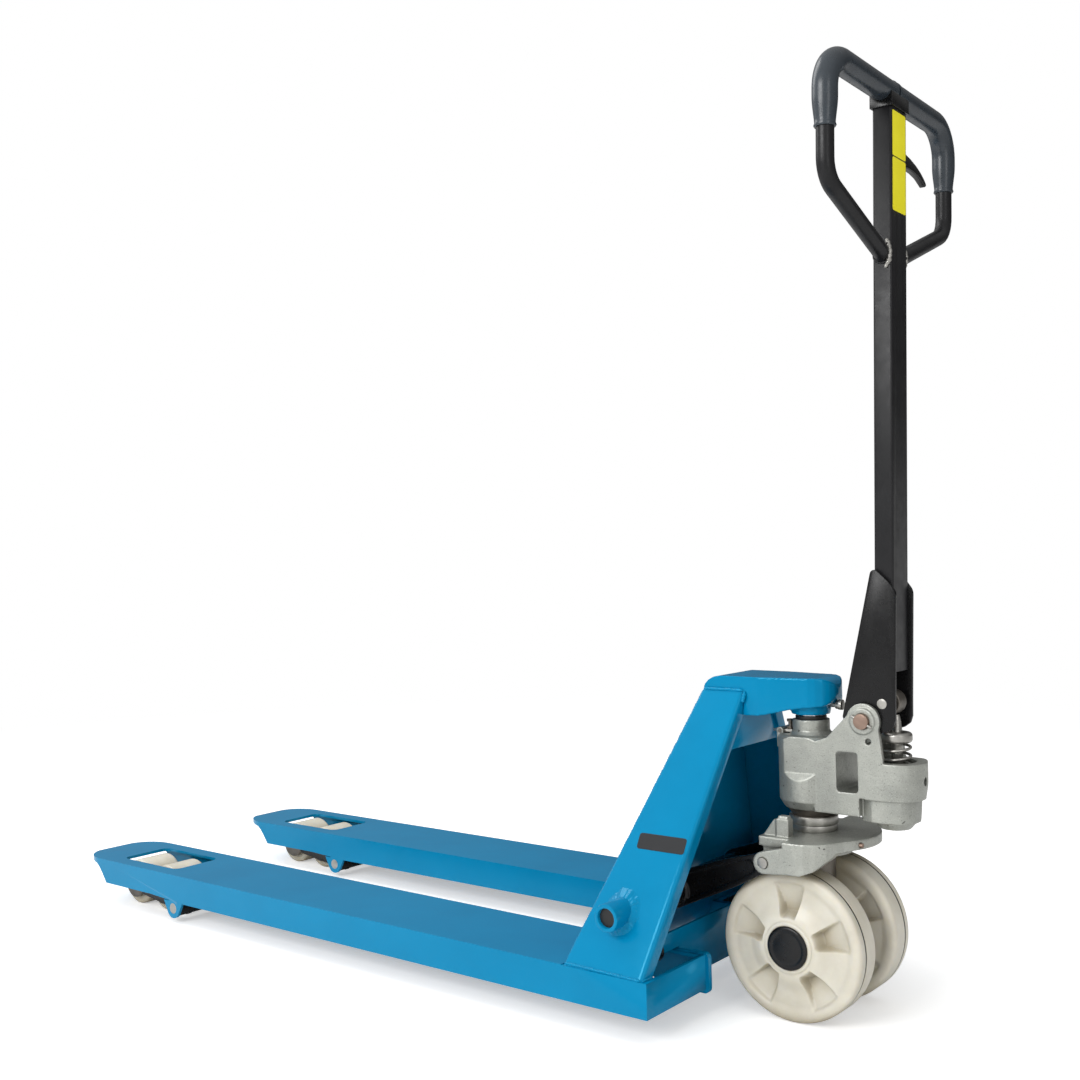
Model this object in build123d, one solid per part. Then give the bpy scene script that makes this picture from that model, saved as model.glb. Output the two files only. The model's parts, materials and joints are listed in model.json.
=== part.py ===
from build123d import *
import os
from math import acos, asin, atan2, cos, dist, pi, radians, sin, sqrt, tan

# Hand pallet truck, 2500 kg class, in millimetres.
# X = Y = 0 is the steering axis, +X (front) points to the fork tips, +Y is the left side,
# z = 0 is the floor.  On export every piece moves by -ORIGIN_X, which puts the origin
# midway along the truck.

# ---------------------------------------------------------------- dimensions
TIP_X, REAR_X = 1385.0, -160.0
ORIGIN_X = (TIP_X + REAR_X) / 2
RUN = 0.05                        # radial running clearance

# forks
FORK_Y = 187.5                    # centre line of the left fork
FORK_HALF = 75.0                  # half width
FORK_WALL = 5.0
FORK_IN = FORK_HALF - FORK_WALL   # half width of the hollow underside
FORK_GAP_Y = FORK_Y - FORK_HALF   # inner flank of the left fork
HEEL_X, STEP_X = 105.0, 240.0     # rear end, and the step where the deck rises
HEEL_TOP, DECK_TOP = 82, 83
FLANGE_Z = 36.0                   # lower edge of the side flanges

# lift linkage: points on axes along Y, as (x, z)
BRACKET_AXLE = (1093.0, 25.0)
BEAM_PIVOT = (1213.5, 40.0)
SHAFT = (171.0, 152.0)            # rocker shaft
CRADLE_PIN = (24.0, 212.0)
LOWER_ARM = 62.0                  # rocker shaft to push rod eye
BRACKET_ARM = 43.5                # bracket axle to push rod pin
LIFT = 115.0
ROCKER_RUN = SHAFT[0] - CRADLE_PIN[0]
ROCKER_RISE = CRADLE_PIN[1] - SHAFT[1]
ROCKER_REACH = dist(SHAFT, CRADLE_PIN)
ROCKER_ANGLE = atan2(ROCKER_RISE, ROCKER_RUN)
ROCKER_SWING = ROCKER_ANGLE - atan2(ROCKER_RISE - LIFT, ROCKER_RUN)
BRACKET_RISE = BEAM_PIVOT[1] - BRACKET_AXLE[1]
BRACKET_REACH = dist(BRACKET_AXLE, BEAM_PIVOT)
BRACKET_SWING = (atan2(BRACKET_RISE, BEAM_PIVOT[0] - BRACKET_AXLE[0])
                 - asin((BRACKET_RISE - LIFT) / BRACKET_REACH))
# both push rod ends stand half their swing away from the vertical
ROD_EYE = (SHAFT[0] - LOWER_ARM * sin(ROCKER_SWING / 2),
           SHAFT[1] - LOWER_ARM * cos(ROCKER_SWING / 2))
ROD_PIN = (BRACKET_AXLE[0] - BRACKET_ARM * sin(BRACKET_SWING / 2),
           BRACKET_AXLE[1] + BRACKET_ARM * cos(BRACKET_SWING / 2))
BRACKET_AXLE_R = 9.0
SHAFT_R = 12.5
EYE_PIN_R = 8
CRADLE_PIN_R = 7.0

# load rollers
ROLLER_R, ROLLER_W = 40.0, 66.0
ROLLER_DX = 41.5                  # roller axle from the beam pivot
BEAM_PIN_R, ROLLER_AXLE_R = 8, 10

# steering column, wheels and handle
STEER = (0, 0)                    # steering axis as (x, y)
RAM_R = 16.0
WHEEL_R, WHEEL_IN, WHEEL_OUT = 100.0, 30.0, 79.0   # radius, inner and outer face of the left wheel
HUB = (0, WHEEL_R)
HUB_Y = 86.5                      # end of the wheel hub
STEER_AXLE_R = 12.5
HANDLE_PIVOT = (-92.0, 398.0)
HANDLE_PIN_R = 10.0
PUMP_ROLLER, PUMP_ROLLER_R, PUMP_PIN_R = (-116.0, 421.0), 16.0, 6.5
PLUNGER_X = -122.0
PLUNGER = (PLUNGER_X, 0)          # plunger axis as (x, y)
PLUNGER_R = 7.5

os.makedirs("parts", exist_ok=True)
parts = {}


# ------------------------------------------------------------------- helpers
def box(x0, x1, y0, y1, z0, z1):
    return Pos((x0 + x1) / 2, (y0 + y1) / 2, (z0 + z1) / 2) * Box(x1 - x0, y1 - y0, z1 - z0)


def cyl_y(centre, radius, y0, y1):
    x, z = centre
    return Pos(x, (y0 + y1) / 2, z) * Rot(90, 0, 0) * Cylinder(radius, y1 - y0)


def cyl_x(centre, radius, x0, x1):
    y, z = centre
    return Pos((x0 + x1) / 2, y, z) * Rot(0, 90, 0) * Cylinder(radius, x1 - x0)


def cyl_z(centre, radius, z0, z1):
    x, y = centre
    return Pos(x, y, (z0 + z1) / 2) * Cylinder(radius, z1 - z0)


def cone_z(centre, bottom_r, top_r, z0, z1):
    x, y = centre
    return Pos(x, y, (z0 + z1) / 2) * Cone(bottom_r, top_r, z1 - z0)


def poly_face(points):
    return make_face(Polyline(*points, close=True).edges())


def prism_y(points, y0, y1):
    """Outline of (x, z) points, extruded along Y."""
    face = poly_face([(x, y0, z) for x, z in points])
    return extrude(face, amount=y1 - y0, dir=(0, 1, 0))


def prism_z(points, z0, z1):
    """Outline of (x, y) points, extruded along Z."""
    face = poly_face([(x, y, z0) for x, y in points])
    return extrude(face, amount=z1 - z0, dir=(0, 0, 1))


def prism_x(points, x0, x1):
    """Outline of (y, z) points, extruded along X."""
    face = poly_face([(x0, y, z) for y, z in points])
    return extrude(face, amount=x1 - x0, dir=(1, 0, 0))


def slab(origin, x_dir, normal, points, depth):
    """Plate with its outline in a plane's own axes, thickened against the normal."""
    plane = Plane(origin=origin, x_dir=x_dir, z_dir=normal)
    face = plane * poly_face([(x, y, 0) for x, y in points])
    return extrude(face, amount=-depth)


def link(start, start_r, end, end_r, y0, y1):
    """Flat plate: two round ends joined by their outer tangents."""
    length = dist(start, end)
    dir_x, dir_z = (end[0] - start[0]) / length, (end[1] - start[1]) / length
    lengthwise = (start_r - end_r) / length
    crosswise = sqrt(1 - lengthwise * lengthwise)
    points = []
    for side, (x, z), radius in ((1, start, start_r), (1, end, end_r),
                                 (-1, end, end_r), (-1, start, start_r)):
        points.append((x + radius * (lengthwise * dir_x - side * crosswise * dir_z),
                       z + radius * (lengthwise * dir_z + side * crosswise * dir_x)))
    return prism_y(points, y0, y1) + cyl_y(start, start_r, y0, y1) + cyl_y(end, end_r, y0, y1)


def span(side, near, far):
    """Y range from near to far on the left (1) or right (-1), lowest first."""
    return (near, far) if side > 0 else (-far, -near)


def mirrored(points):
    return [(x, -y) for x, y in reversed(points)]


def both_sides(points):
    return points + mirrored(points)


def rounded(part, edges, radius):
    """Fillet, with smaller radii as fallback; the part stays sharp if all of them fail."""
    for share in (1.0, 0.7, 0.4):
        # guards against radii that the kernel refuses
        try:
            out = fillet(edges, radius * share)
            if out.is_valid and out.volume > 0:
                return out
        except Exception:
            continue
    return part


def flip(part):
    return mirror(part, about=Plane.XZ)


def add_pair(name, left):
    parts[name + "_left"] = left
    parts[name + "_right"] = flip(left)


def round_path(points, radii):
    """Wire through (y, z) points in the YZ plane, with its inner corners rounded."""
    nodes = [Vector(0, y, z) for y, z in points]
    edges = []
    last = nodes[0]
    for before, corner, after, radius in zip(nodes, nodes[1:], nodes[2:], radii):
        back = (before - corner).normalized()
        ahead = (after - corner).normalized()
        half = acos(back.dot(ahead)) / 2
        start = corner + back * (radius / tan(half))
        end = corner + ahead * (radius / tan(half))
        middle = corner + (back + ahead).normalized() * (radius / sin(half) - radius)
        edges.append(Line(last, start))
        edges.append(ThreePointArc(start, middle, end))
        last = end
    edges.append(Line(last, nodes[-1]))
    return Wire(edges)


def tube(path, radius):
    """Solid round bar along a path."""
    section = Plane(origin=path @ 0, z_dir=path % 0) * Circle(radius)
    return sweep(section, path=path)


# --------------------------------------------------------------------- forks
# side view (x, z) of the nose, from the underside round the point to the deck
NOSE = [(1297, 41), (1318, 42), (1332, 46.5), (1345, 54), (1356, 61.5), (1366, 68.5),
        (1375, 74.5), (1382, 78), (1385, 79.6), (1383.5, 81.4), (1378, 82.6), (1368, DECK_TOP)]


def tip_plan(rear_x, half, arc_x, radius, steps):
    """Plan of a fork whose front corners are arcs centred at arc_x."""
    angles = [pi * i / (2 * steps) for i in range(steps + 1)]
    tip = [(arc_x + radius * sin(a), half - radius + radius * cos(a)) for a in angles]
    return [(rear_x, -half), (rear_x, half)] + tip + mirrored(tip)


def fork():
    """Fork about Y = 0."""
    side = ([(HEEL_X, FLANGE_Z), (1060, FLANGE_Z), (1160, 41)] + NOSE
            + [(STEP_X, DECK_TOP), (STEP_X, HEEL_TOP), (HEEL_X, HEEL_TOP)])
    plan = tip_plan(HEEL_X, FORK_HALF, arc_x=TIP_X - 68, radius=68, steps=14)
    body = prism_z(plan, 20, 90) & prism_y(side, -80, 80)
    deck_edges = [e for e in body.edges()
                  if e.center().Z > 81.5 and abs(abs(e.center().Y) - FORK_HALF) < 0.6
                  and e.length > 80]
    body = rounded(body, deck_edges, 5.5)
    # hollow underside, following the tip
    room_x = HEEL_X + FORK_WALL
    room_plan = tip_plan(room_x, FORK_IN, arc_x=TIP_X - 76, radius=63, steps=13)
    room_side = [(room_x, 0), (1328, 0), (1328, 60), (1350, 70), (1350, 78), (room_x, 77)]
    body -= prism_z(room_plan, 0, 78) & prism_y(room_side, -71, 71)
    # opening in the heel, above the push rod
    body -= box(HEEL_X + 7, 231, -63, 63, 60, 100)
    # window for the load rollers
    window = box(1122, 1282, -47, 47, 60, 100)
    window = rounded(window, window.edges().filter_by(Axis.Z), 14)
    body -= window
    # ears under the side flanges for the bracket axle
    x, z = BRACKET_AXLE
    ear_side = [(x - 26, FLANGE_Z + 1), (x - 15.5, z - 7), (x + 15.5, z - 7), (x + 26, FLANGE_Z + 1)]
    for side in (-1, 1):
        wall = span(side, FORK_IN, FORK_HALF)
        body += cyl_y(BRACKET_AXLE, 17, *wall) + prism_y(ear_side, *wall)
    body -= cyl_y(BRACKET_AXLE, BRACKET_AXLE_R + 0.03, -80, 80)
    # lips at the rear corners of the heel
    for side in (-1, 1):
        body += box(HEEL_X, HEEL_X + 7, *span(side, 68, FORK_HALF), FLANGE_Z, HEEL_TOP)
    return body


def fork_with_end_plate():
    # the plate sits on the inner side of the heel, slightly proud
    plate = box(100, 132, FORK_GAP_Y, FORK_GAP_Y + 8, 30, 84)
    plate = rounded(plate, plate.edges().filter_by(Axis.Y), 7)
    return Pos(0, FORK_Y, 0) * fork() + plate


add_pair("fork", fork_with_end_plate())
# low cross plate between the fork heels
parts["lower_cross_plate"] = (box(150, 155, -FORK_GAP_Y, FORK_GAP_Y, FLANGE_Z, 108)
                              + box(150, 155, -168, 168, 84, 108))

# ------------------------------------------------------------ gussets, plates
# the gussets lean inwards; their lines are given at REF_Z, with a slope per unit of z
REF_Z = 84
GUSSET_Y, GUSSET_LEAN = 259.5, 0.605      # outer face
FRONT_X, FRONT_SLOPE = 237.0, 0.2787      # front edge, and the bulkhead on it
BACK_X, BACK_SLOPE = 113.0, 0.1066        # rear edge
GUSSET_BOTTOM, GUSSET_TOP, GUSSET_T = 82.0, 431.0, 5.0
LEAN_COS, LEAN_SIN = cos(atan2(GUSSET_LEAN, 1)), sin(atan2(GUSSET_LEAN, 1))
GUSSET_NORMAL = (0, LEAN_COS, LEAN_SIN)


def gusset_y(z):
    return GUSSET_Y - GUSSET_LEAN * (z - REF_Z)


def front_x(z):
    return FRONT_X - FRONT_SLOPE * (z - REF_Z)


def back_x(z):
    return BACK_X - BACK_SLOPE * (z - REF_Z)


def gusset():
    corners = ((GUSSET_BOTTOM, front_x), (GUSSET_TOP, front_x),
               (GUSSET_TOP, back_x), (GUSSET_BOTTOM, back_x))
    outline = [(edge_x(z), -(z - REF_Z) / LEAN_COS) for z, edge_x in corners]
    plate = slab((0, GUSSET_Y, REF_Z), (1, 0, 0), GUSSET_NORMAL, outline, GUSSET_T)
    # rear edge flange, turned inwards
    y = gusset_y(GUSSET_BOTTOM) - GUSSET_T / LEAN_COS
    x = back_x(GUSSET_BOTTOM)
    foot = poly_face([(x, y + 1, GUSSET_BOTTOM), (x + 5, y + 1, GUSSET_BOTTOM),
                      (x + 5, y - 20, GUSSET_BOTTOM), (x, y - 20, GUSSET_BOTTOM)])
    rise = Vector(-BACK_SLOPE, -GUSSET_LEAN, 1) * (GUSSET_TOP - GUSSET_BOTTOM)
    lip = extrude(foot, amount=rise.length, dir=rise)
    # rocker shaft sleeve through the plate
    sleeve = cyl_y(SHAFT, 18.2, 200.5, 255)
    body = plate + lip + sleeve
    body -= cyl_y(SHAFT, SHAFT_R, 150, 260)
    return body & box(-100, 400, 0, GUSSET_Y + 20, GUSSET_BOTTOM, 500)


add_pair("gusset", gusset())
gussets = parts["gusset_left"] + parts["gusset_right"]


def bulkhead():
    """Sloping plate across the front edges of the gussets."""
    slope_cos, slope_sin = cos(atan2(FRONT_SLOPE, 1)), sin(atan2(FRONT_SLOPE, 1))
    foot_half = 112.4
    wide_z, top_z = 83.0, 430.0
    wide_half, top_half = gusset_y(wide_z) - 7, gusset_y(top_z) - 7
    foot, wide, top = [(z - REF_Z) / slope_cos for z in (46.0, wide_z, top_z)]
    # in plane axes: (y, distance up the slope)
    outline = [(-foot_half, foot), (foot_half, foot), (foot_half, wide), (wide_half, wide),
               (top_half, top), (-top_half, top), (-wide_half, wide), (-foot_half, wide)]
    plate = slab((FRONT_X, 0, REF_Z), (0, 1, 0), (slope_cos, 0, slope_sin), outline, 5)
    return plate - gussets - parts["fork_left"] - parts["fork_right"]


def cross_web():
    """Upright plate across the gussets, under the head."""
    low_z, high_z = 352, 430
    low, high = gusset_y(low_z) - 5.9, gusset_y(high_z) - 5.9
    return prism_x([(-low, low_z), (low, low_z), (high, high_z), (-high, high_z)],
                   85.5, 90.5) - gussets


parts["bulkhead"] = bulkhead()
parts["cross_web"] = cross_web()

# side view (x, z) of the head, from the front over the top to the rear and back
HEAD_SIDE = [(141, 431), (140.5, 434), (138, 439), (133, 444), (126, 448), (116, 450), (-26, 450),
             (-33, 448.6), (-38, 445.5), (-41.5, 441), (-43, 435), (-42.6, 428), (-40.5, 421),
             (-36, 415), (-30, 412), (-10, 410), (12, 407), (30, 402.5), (46, 398.6), (58, 397),
             (66, 396.8), (141, 396.8)]
HEAD_FLANK = [(142, 48), (54, 48), (36, 45.8), (16, 42)]   # left side of the plan (x, y)
SCREW_AXIS = (0, 413)             # clamp screw (y, z)
SCREW_R = 4
RAM_TOP = 436


def head_beam():
    steps, radius, arc_x = 12, 39.2, -3.8
    arc = [(arc_x - radius * sin(pi * i / steps), radius * cos(pi * i / steps))
           for i in range(steps + 1)]
    plan = HEAD_FLANK + arc + mirrored(HEAD_FLANK)
    body = prism_y(HEAD_SIDE, -60, 60) & prism_z(plan, 390, 460)
    body = rounded(body, [e for e in body.edges() if e.center().Z > 446 and e.length > 8], 7)
    # ram socket
    body += cone_z(STEER, 26, 29, 399, 416)
    body -= cyl_z(STEER, RAM_R, 380, RAM_TOP)
    body -= cyl_x(SCREW_AXIS, SCREW_R, -60, -10)
    return body - gussets - parts["bulkhead"] - parts["cross_web"]


def clamp_screw():
    screw = (cyl_x(SCREW_AXIS, SCREW_R, -38, -16) + cyl_x(SCREW_AXIS, 7, -47, -42)
             + cyl_x(SCREW_AXIS, 6, -42.0, -37.9))
    return (screw - parts["ram"]) - parts["head_beam"]


def gusset_label():
    """Blank plate on the left gusset."""
    z = 236.0
    outline = [(-37, -11), (37, -11), (37, 11), (-37, 11)]
    label = slab((139, gusset_y(z), z), (1, 0, 0), GUSSET_NORMAL, outline, -0.6)
    return rounded(label, [e for e in label.edges() if e.length < 1.0], 3.5)


parts["head_beam"] = head_beam()
parts["rocker_shaft"] = cyl_y(SHAFT, SHAFT_R - RUN, -250, 250)
parts["ram"] = cyl_z(STEER, RAM_R, 256, RAM_TOP)
parts["clamp_screw"] = clamp_screw()
parts["gusset_label"] = gusset_label()

# -------------------------------------------------------------------- cradle
# left side (x, y) of the casting in plan, outside and inside of the skirt
CRADLE_OUTER = [(14, 103), (-18, 103), (-33, 100.5), (-46, 94), (-57, 82.5), (-69.7, 57)]
SKIRT_OUTER = [(-2, 103)] + CRADLE_OUTER[1:]
SKIRT_INNER = [(60, 93), (-2, 93), (-16, 93), (-30, 90.5), (-41, 84.5), (-51, 73), (-60, 54)]
# side view (x, z) that the skirt is trimmed to, rising to the rear
SKIRT_SIDE = [(10, 200.5), (-27, 200.5), (-44, 207), (-58, 220), (-64, 228), (-80, 228),
              (-80, 240), (10, 240)]
PLATE_TOP = 242
BEARING_R = 28.1                  # bore of the cradle and lower bearing ring
NIPPLE = Pos(-83.4, 34, 235) * Rot(0, 90, 157.9)
NIPPLE_R = 3


def thrust_plate():
    top = prism_z(both_sides(CRADLE_OUTER), 229, PLATE_TOP) + cyl_z(STEER, 90, 229, PLATE_TOP)
    top = top & box(-95, 42, -103, 103, 220, 250)
    top = rounded(top, [e for e in top.edges() if abs(e.center().Z - PLATE_TOP) < 0.1], 4.5)
    skirt = prism_z(both_sides(SKIRT_OUTER), 196, 232)
    skirt -= prism_z(both_sides(SKIRT_INNER), 190, 229)
    skirt = skirt & prism_y(SKIRT_SIDE, -110, 110)
    body = top + skirt
    # clear the top plate over the rocker arms
    body -= box(-4, 60, 80.2, 110, 220, 250) + box(-4, 60, -110, -80.2, 220, 250)
    body += cyl_z(STEER, 52, 214, 229.5)
    for side in (-1, 1):
        body += link(CRADLE_PIN, 14.5, (-8, 217.5), 17.2, *span(side, 93, 103))
        # shoulder that carries the ear, behind the rocker end
        body += box(-26, -6, *span(side, 70, 98), 204, 240)
        # inner boss for the pin
        boss = span(side, 62, 79.5)
        body += cyl_y((CRADLE_PIN[0], 215), 12, *boss) + box(12, 36, *boss, 215, 231)
    body -= (cyl_y(CRADLE_PIN, CRADLE_PIN_R, 68, 110)
             + cyl_y(CRADLE_PIN, CRADLE_PIN_R, -110, -68))
    body -= cyl_z(STEER, BEARING_R, 200, 260)
    # stop post with its rib
    body += box(0, 18, 60, 75, 240, 266) + box(2, 16, 62, 73, 264, 270)
    body += prism_y([(16, 241), (40, 241), (36, 246), (22, 265), (16, 265)], 62, 73)
    # nipple seat
    body -= NIPPLE * Cylinder(NIPPLE_R, 16)
    return body


def grease_nipple():
    nipple = NIPPLE * (Pos(0, 0, 2) * Cylinder(NIPPLE_R, 10) + Pos(0, 0, 8) * Cylinder(4.4, 3)
                       + Pos(0, 0, 11) * Cone(3.2, 2.0, 4))
    nipple = nipple - parts["thrust_plate"]
    return nipple.solids().sort_by(lambda s: s.volume)[-1]


parts["thrust_plate"] = thrust_plate()
add_pair("cradle_pin", cyl_y(CRADLE_PIN, CRADLE_PIN_R, 68, 105))
parts["bearing_ring_lower"] = (cyl_z(STEER, 32, PLATE_TOP, 250.5)
                               - cyl_z(STEER, BEARING_R, 240, 252))
parts["grease_nipple"] = grease_nipple()

# ---------------------------------------------------------------------- pump
BLOCK_HALF = 38.5                 # half width of the pump block
CLEVIS_HALF = 31.5                # half width of the gap in the handle clevis
CUP_BOTTOM, CUP_TOP = 296, 344
# side views (x, z)
WEB_SIDE = [(-20, 273), (-84, 273), (-84, 297), (-118, 297), (-118, CUP_TOP), (-92, 350),
            (-86, 366), (-20, 366)]
CHEEK_SIDE = [(-20, 340), (-20, 366), (-40, 373), (-78, 413), (-110, 411), (-118, 350),
              (-118, 330)]
# plan (x, y) of the block under the cup
CUP_FOOT = [(-149.5, -12), (-149.5, 12), (-139, 31), (-99, 33), (-82, 26), (-82, -26),
            (-99, -33), (-139, -31)]
LEVER_PIN, LEVER_PIN_R = (41, 374), 2.5    # release lever pin (x, z)
BOLT, BOLT_R = (31.5, 0), 3                # release bolt (x, y)


def pump_cup():
    """Cup with flat sides and a blunt rear facet, on its narrower foot."""
    cup = prism_z([(-92, -BLOCK_HALF), (-92, BLOCK_HALF), (-149, BLOCK_HALF), (REAR_X, 8),
                   (REAR_X, -8), (-149, -BLOCK_HALF)], CUP_BOTTOM, CUP_TOP)
    cup = rounded(cup, [e for e in cup.edges().filter_by(Axis.Z) if e.center().X < -140], 4.5)
    rim = [e for e in cup.edges()
           if abs(e.center().Z - CUP_BOTTOM) < 0.1 and e.center().X < -93]
    # guards against a chamfer that the kernel refuses; the rim then stays sharp
    try:
        cut = chamfer(rim, 5)
        cup = cut if cut.is_valid and cut.volume > 0 else cup
    except Exception:
        pass
    foot = prism_z(CUP_FOOT, 266, 297)
    foot = rounded(foot, [e for e in foot.edges().filter_by(Axis.Z) if e.center().X < -90], 4)
    foot += cone_z((-117, 0), 20, 29, 256, 266.2)
    return cup + foot


def pump_body():
    body = (cyl_z(STEER, 45, 284, 366) + cone_z(STEER, 38, 45, 273, 284)
            + cone_z(STEER, 45, 40, 366, 371))
    # flats on the upper part of the cylinder, a ledge below them
    for side in (-1, 1):
        flat = [(BLOCK_HALF, 323), (47, 310), (60, 310), (60, 380), (BLOCK_HALF, 380)]
        body -= prism_x([(side * y, z) for y, z in flat], -60, 60)
    body += cone_z(STEER, 30, 25, 370, 377) + cyl_z(STEER, 25, 376, 392)
    # web to the pump cup, with the cheeks of the handle clevis
    body += prism_y(WEB_SIDE, -BLOCK_HALF, BLOCK_HALF)
    for side in (-1, 1):
        cheek = span(side, CLEVIS_HALF, BLOCK_HALF)
        body += prism_y(CHEEK_SIDE, *cheek) + cyl_y(HANDLE_PIVOT, 23, *cheek)
        body += cyl_y(HANDLE_PIVOT, 17, *span(side, 38, 41.5))
    body += pump_cup()
    # clevis gap for the handle
    body -= box(-170, -50, -CLEVIS_HALF, CLEVIS_HALF, 366, 430)
    body -= prism_y([(-88, 367), (-88, 352), (-100, CUP_TOP), (-170, CUP_TOP), (-170, 367)],
                    -CLEVIS_HALF, CLEVIS_HALF)
    # hollow for plunger and spring, with the plunger guide in it
    body -= cyl_z(PLUNGER, 24.5, 291, 420)
    body += cyl_z(PLUNGER, 11, 288, 325)
    body -= cyl_z(PLUNGER, PLUNGER_R + RUN, 264, 330)
    # opening across the web
    opening = box(-83, -53, -60, 60, 303, 356)
    body -= rounded(opening, opening.edges().filter_by(Axis.Y), 5)
    body -= cyl_y((-98.6, 371.7), 4, -60, 60)
    body -= cyl_y(HANDLE_PIVOT, HANDLE_PIN_R, -60, 60)
    # port on the rear facet
    body -= cyl_x((0, 320), 5.5, -175, -153)
    body -= cyl_z(STEER, RAM_R + RUN, 250, 400)
    # lugs of the release lever
    for side in (-1, 1):
        lug = span(side, 9.5, 14)
        body += box(36, 46, *lug, 352, 370) + cyl_y(LEVER_PIN, 5.5, *lug)
    body -= box(25.1, 56, -9.4, 9.4, 368, 392) + cyl_z((32.5, 0), 10.4, 368, 393)
    body -= cyl_y(LEVER_PIN, LEVER_PIN_R, -20, 20)
    return body


def pump_stem():
    """Stem from the pump down to the steer axle, flattened between the wheels."""
    half = 29
    ram_bore = cyl_z(STEER, RAM_R + RUN, 250, 280)
    stem = cyl_z(STEER, 28, 88, 273) - ram_bore
    stem += cone_z(STEER, 28, 36, 262.5, 273) - ram_bore
    stem = stem & (box(-40, 40, -half, half, 70, 235) + box(-60, 60, -60, 60, 235, 280))
    stem += cyl_y(HUB, 26, -half, half)
    stem -= cyl_y(HUB, STEER_AXLE_R, -40, 40)
    return stem


def release_lever():
    lever = box(25.5, 54, -8, 8, 372.2, 375.8) + cyl_y(LEVER_PIN, 5, -9.2, 9.2)
    lever = (lever - cyl_z(BOLT, BOLT_R, 360, 390) - cyl_y(LEVER_PIN, LEVER_PIN_R + RUN, -20, 20)
             - cyl_z(STEER, 26.2, 360, 400))
    return lever - parts["release_bolt"]


def hexagon(radius):
    """Hexagon (x, y) about the release bolt."""
    x, y = BOLT
    return [(x + radius * cos(2 * pi * i / 6), y + radius * sin(2 * pi * i / 6)) for i in range(6)]


def release_bolt():
    bolt = (cyl_z(BOLT, BOLT_R, 369.8, 386) + prism_z(hexagon(5.5), 386, 389.4)
            + prism_z(hexagon(5.2), 375.8, 379.5))
    return bolt - cyl_z(STEER, 25.6, 360, 400)


parts["pump_body"] = pump_body()
parts["pump_stem"] = pump_stem()
parts["bearing_ring_upper"] = cyl_z(STEER, 33, 251, 262) - cyl_z(STEER, 28, 240, 270)
parts["wiper_ring"] = cyl_z(STEER, 21, 392, 396.5) - cyl_z(STEER, RAM_R + RUN, 380, 400)
parts["steer_axle"] = cyl_y(HUB, STEER_AXLE_R, -74, 74)
parts["split_pin"] = (Pos(HANDLE_PIVOT[0], 43.4, HANDLE_PIVOT[1]) * Rot(0, -27, 0)
                      * cyl_x((0, 0), 1.75, -16, 15))
parts["handle_pivot_pin"] = cyl_y(HANDLE_PIVOT, HANDLE_PIN_R, -45.5, 45.5) - parts["split_pin"]
parts["release_bolt"] = release_bolt()
parts["release_lever"] = release_lever()
parts["lever_pin"] = cyl_y(LEVER_PIN, LEVER_PIN_R, -15, 15)

# -------------------------------------------------------------------- wheels
# outline of a wedge pocket: (radius, degrees from its middle)
POCKET = [(37, -14.5), (60, -14.5), (84, -14.5), (85, -7), (85.5, 0), (85, 7), (84, 14.5),
          (60, 14.5), (37, 14.5), (37.5, 0)]
CAP_R = 27


def steer_wheel(phase):
    """Left wheel; phase is the angle of its first pocket in degrees."""
    wheel = cyl_y(HUB, WHEEL_R, WHEEL_IN, WHEEL_OUT)
    wheel = rounded(wheel, wheel.edges().filter_by(GeomType.CIRCLE), 3.5)
    wheel += cyl_y(HUB, 33, WHEEL_OUT - 1, HUB_Y)
    # five wedge pockets on each face
    for y0, y1 in ((WHEEL_IN - 1, WHEEL_IN + 13), (WHEEL_OUT - 14, WHEEL_OUT + 1)):
        for i in range(5):
            middle = radians(phase + 72 * i)
            outline = [(radius * cos(middle + radians(turn)),
                        HUB[1] + radius * sin(middle + radians(turn)))
                       for radius, turn in POCKET]
            wheel -= prism_y(outline, y0, y1)
    # tread seam
    wheel -= cyl_y(HUB, WHEEL_R + 1, 62, 64) - cyl_y(HUB, WHEEL_R - 1.5, 60, 66)
    # seat of the hub cap, bore, wider outer bore
    wheel -= cyl_y(HUB, CAP_R, HUB_Y - 5, HUB_Y + 1)
    wheel -= cyl_y(HUB, STEER_AXLE_R + RUN, 0, 100)
    wheel -= cyl_y(HUB, 16, 60, 100)
    return wheel


parts["steer_wheel_left"] = steer_wheel(18)
parts["steer_wheel_right"] = flip(steer_wheel(150))
add_pair("hub_cap", cyl_y(HUB, CAP_R, HUB_Y - 4, HUB_Y) + cyl_y(HUB, 28.5, HUB_Y, HUB_Y + 2))

# -------------------------------------------------------------------- handle
# column pieces are built upright on X = 0, then leaned about Y at z = LEAN_Z
COLUMN_X, LEAN_Z, LEAN_DEG = -115.8, 400.0, 1.39
COLUMN_HALF_X, COLUMN_HALF_Y, COLUMN_WALL = 26.0 / 2, 50.0 / 2, 3
COLUMN_BOTTOM, COLUMN_TOP = 462, 1196
LOOP_Y, LOOP_TOP, LOOP_BEND = 190, 1218, 52      # centre line of the loop bar
TRIGGER_AXIS, TRIGGER_PIN_R = (0, 1140), 4.0     # trigger pin (y, z)
GRIP_R = 15.6
# side plate (x, z)
CHEEK_PLATE = [(-106, 600), (-128, 580), (-138, 566), (-133.5, 424), (-133, 400), (-130, 391),
               (-122, 385), (-110, 381), (-92, 378), (-80, 384), (-70, 392), (-60, 400)]
# trigger with its rounded finger hook (y, z)
TRIGGER = [(9, 1148), (-12, 1150), (-24, 1151), (-40, 1149.5), (-60, 1146), (-80, 1141),
           (-97, 1134.5), (-108, 1128.5), (-114, 1124), (-115.5, 1121), (-112, 1118.5),
           (-106, 1121), (-92, 1126.5), (-74, 1129.5), (-55, 1130.5), (-38, 1129.5),
           (-24, 1127), (-12, 1130), (12, 1131.5), (14, 1137), (13, 1143)]


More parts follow.
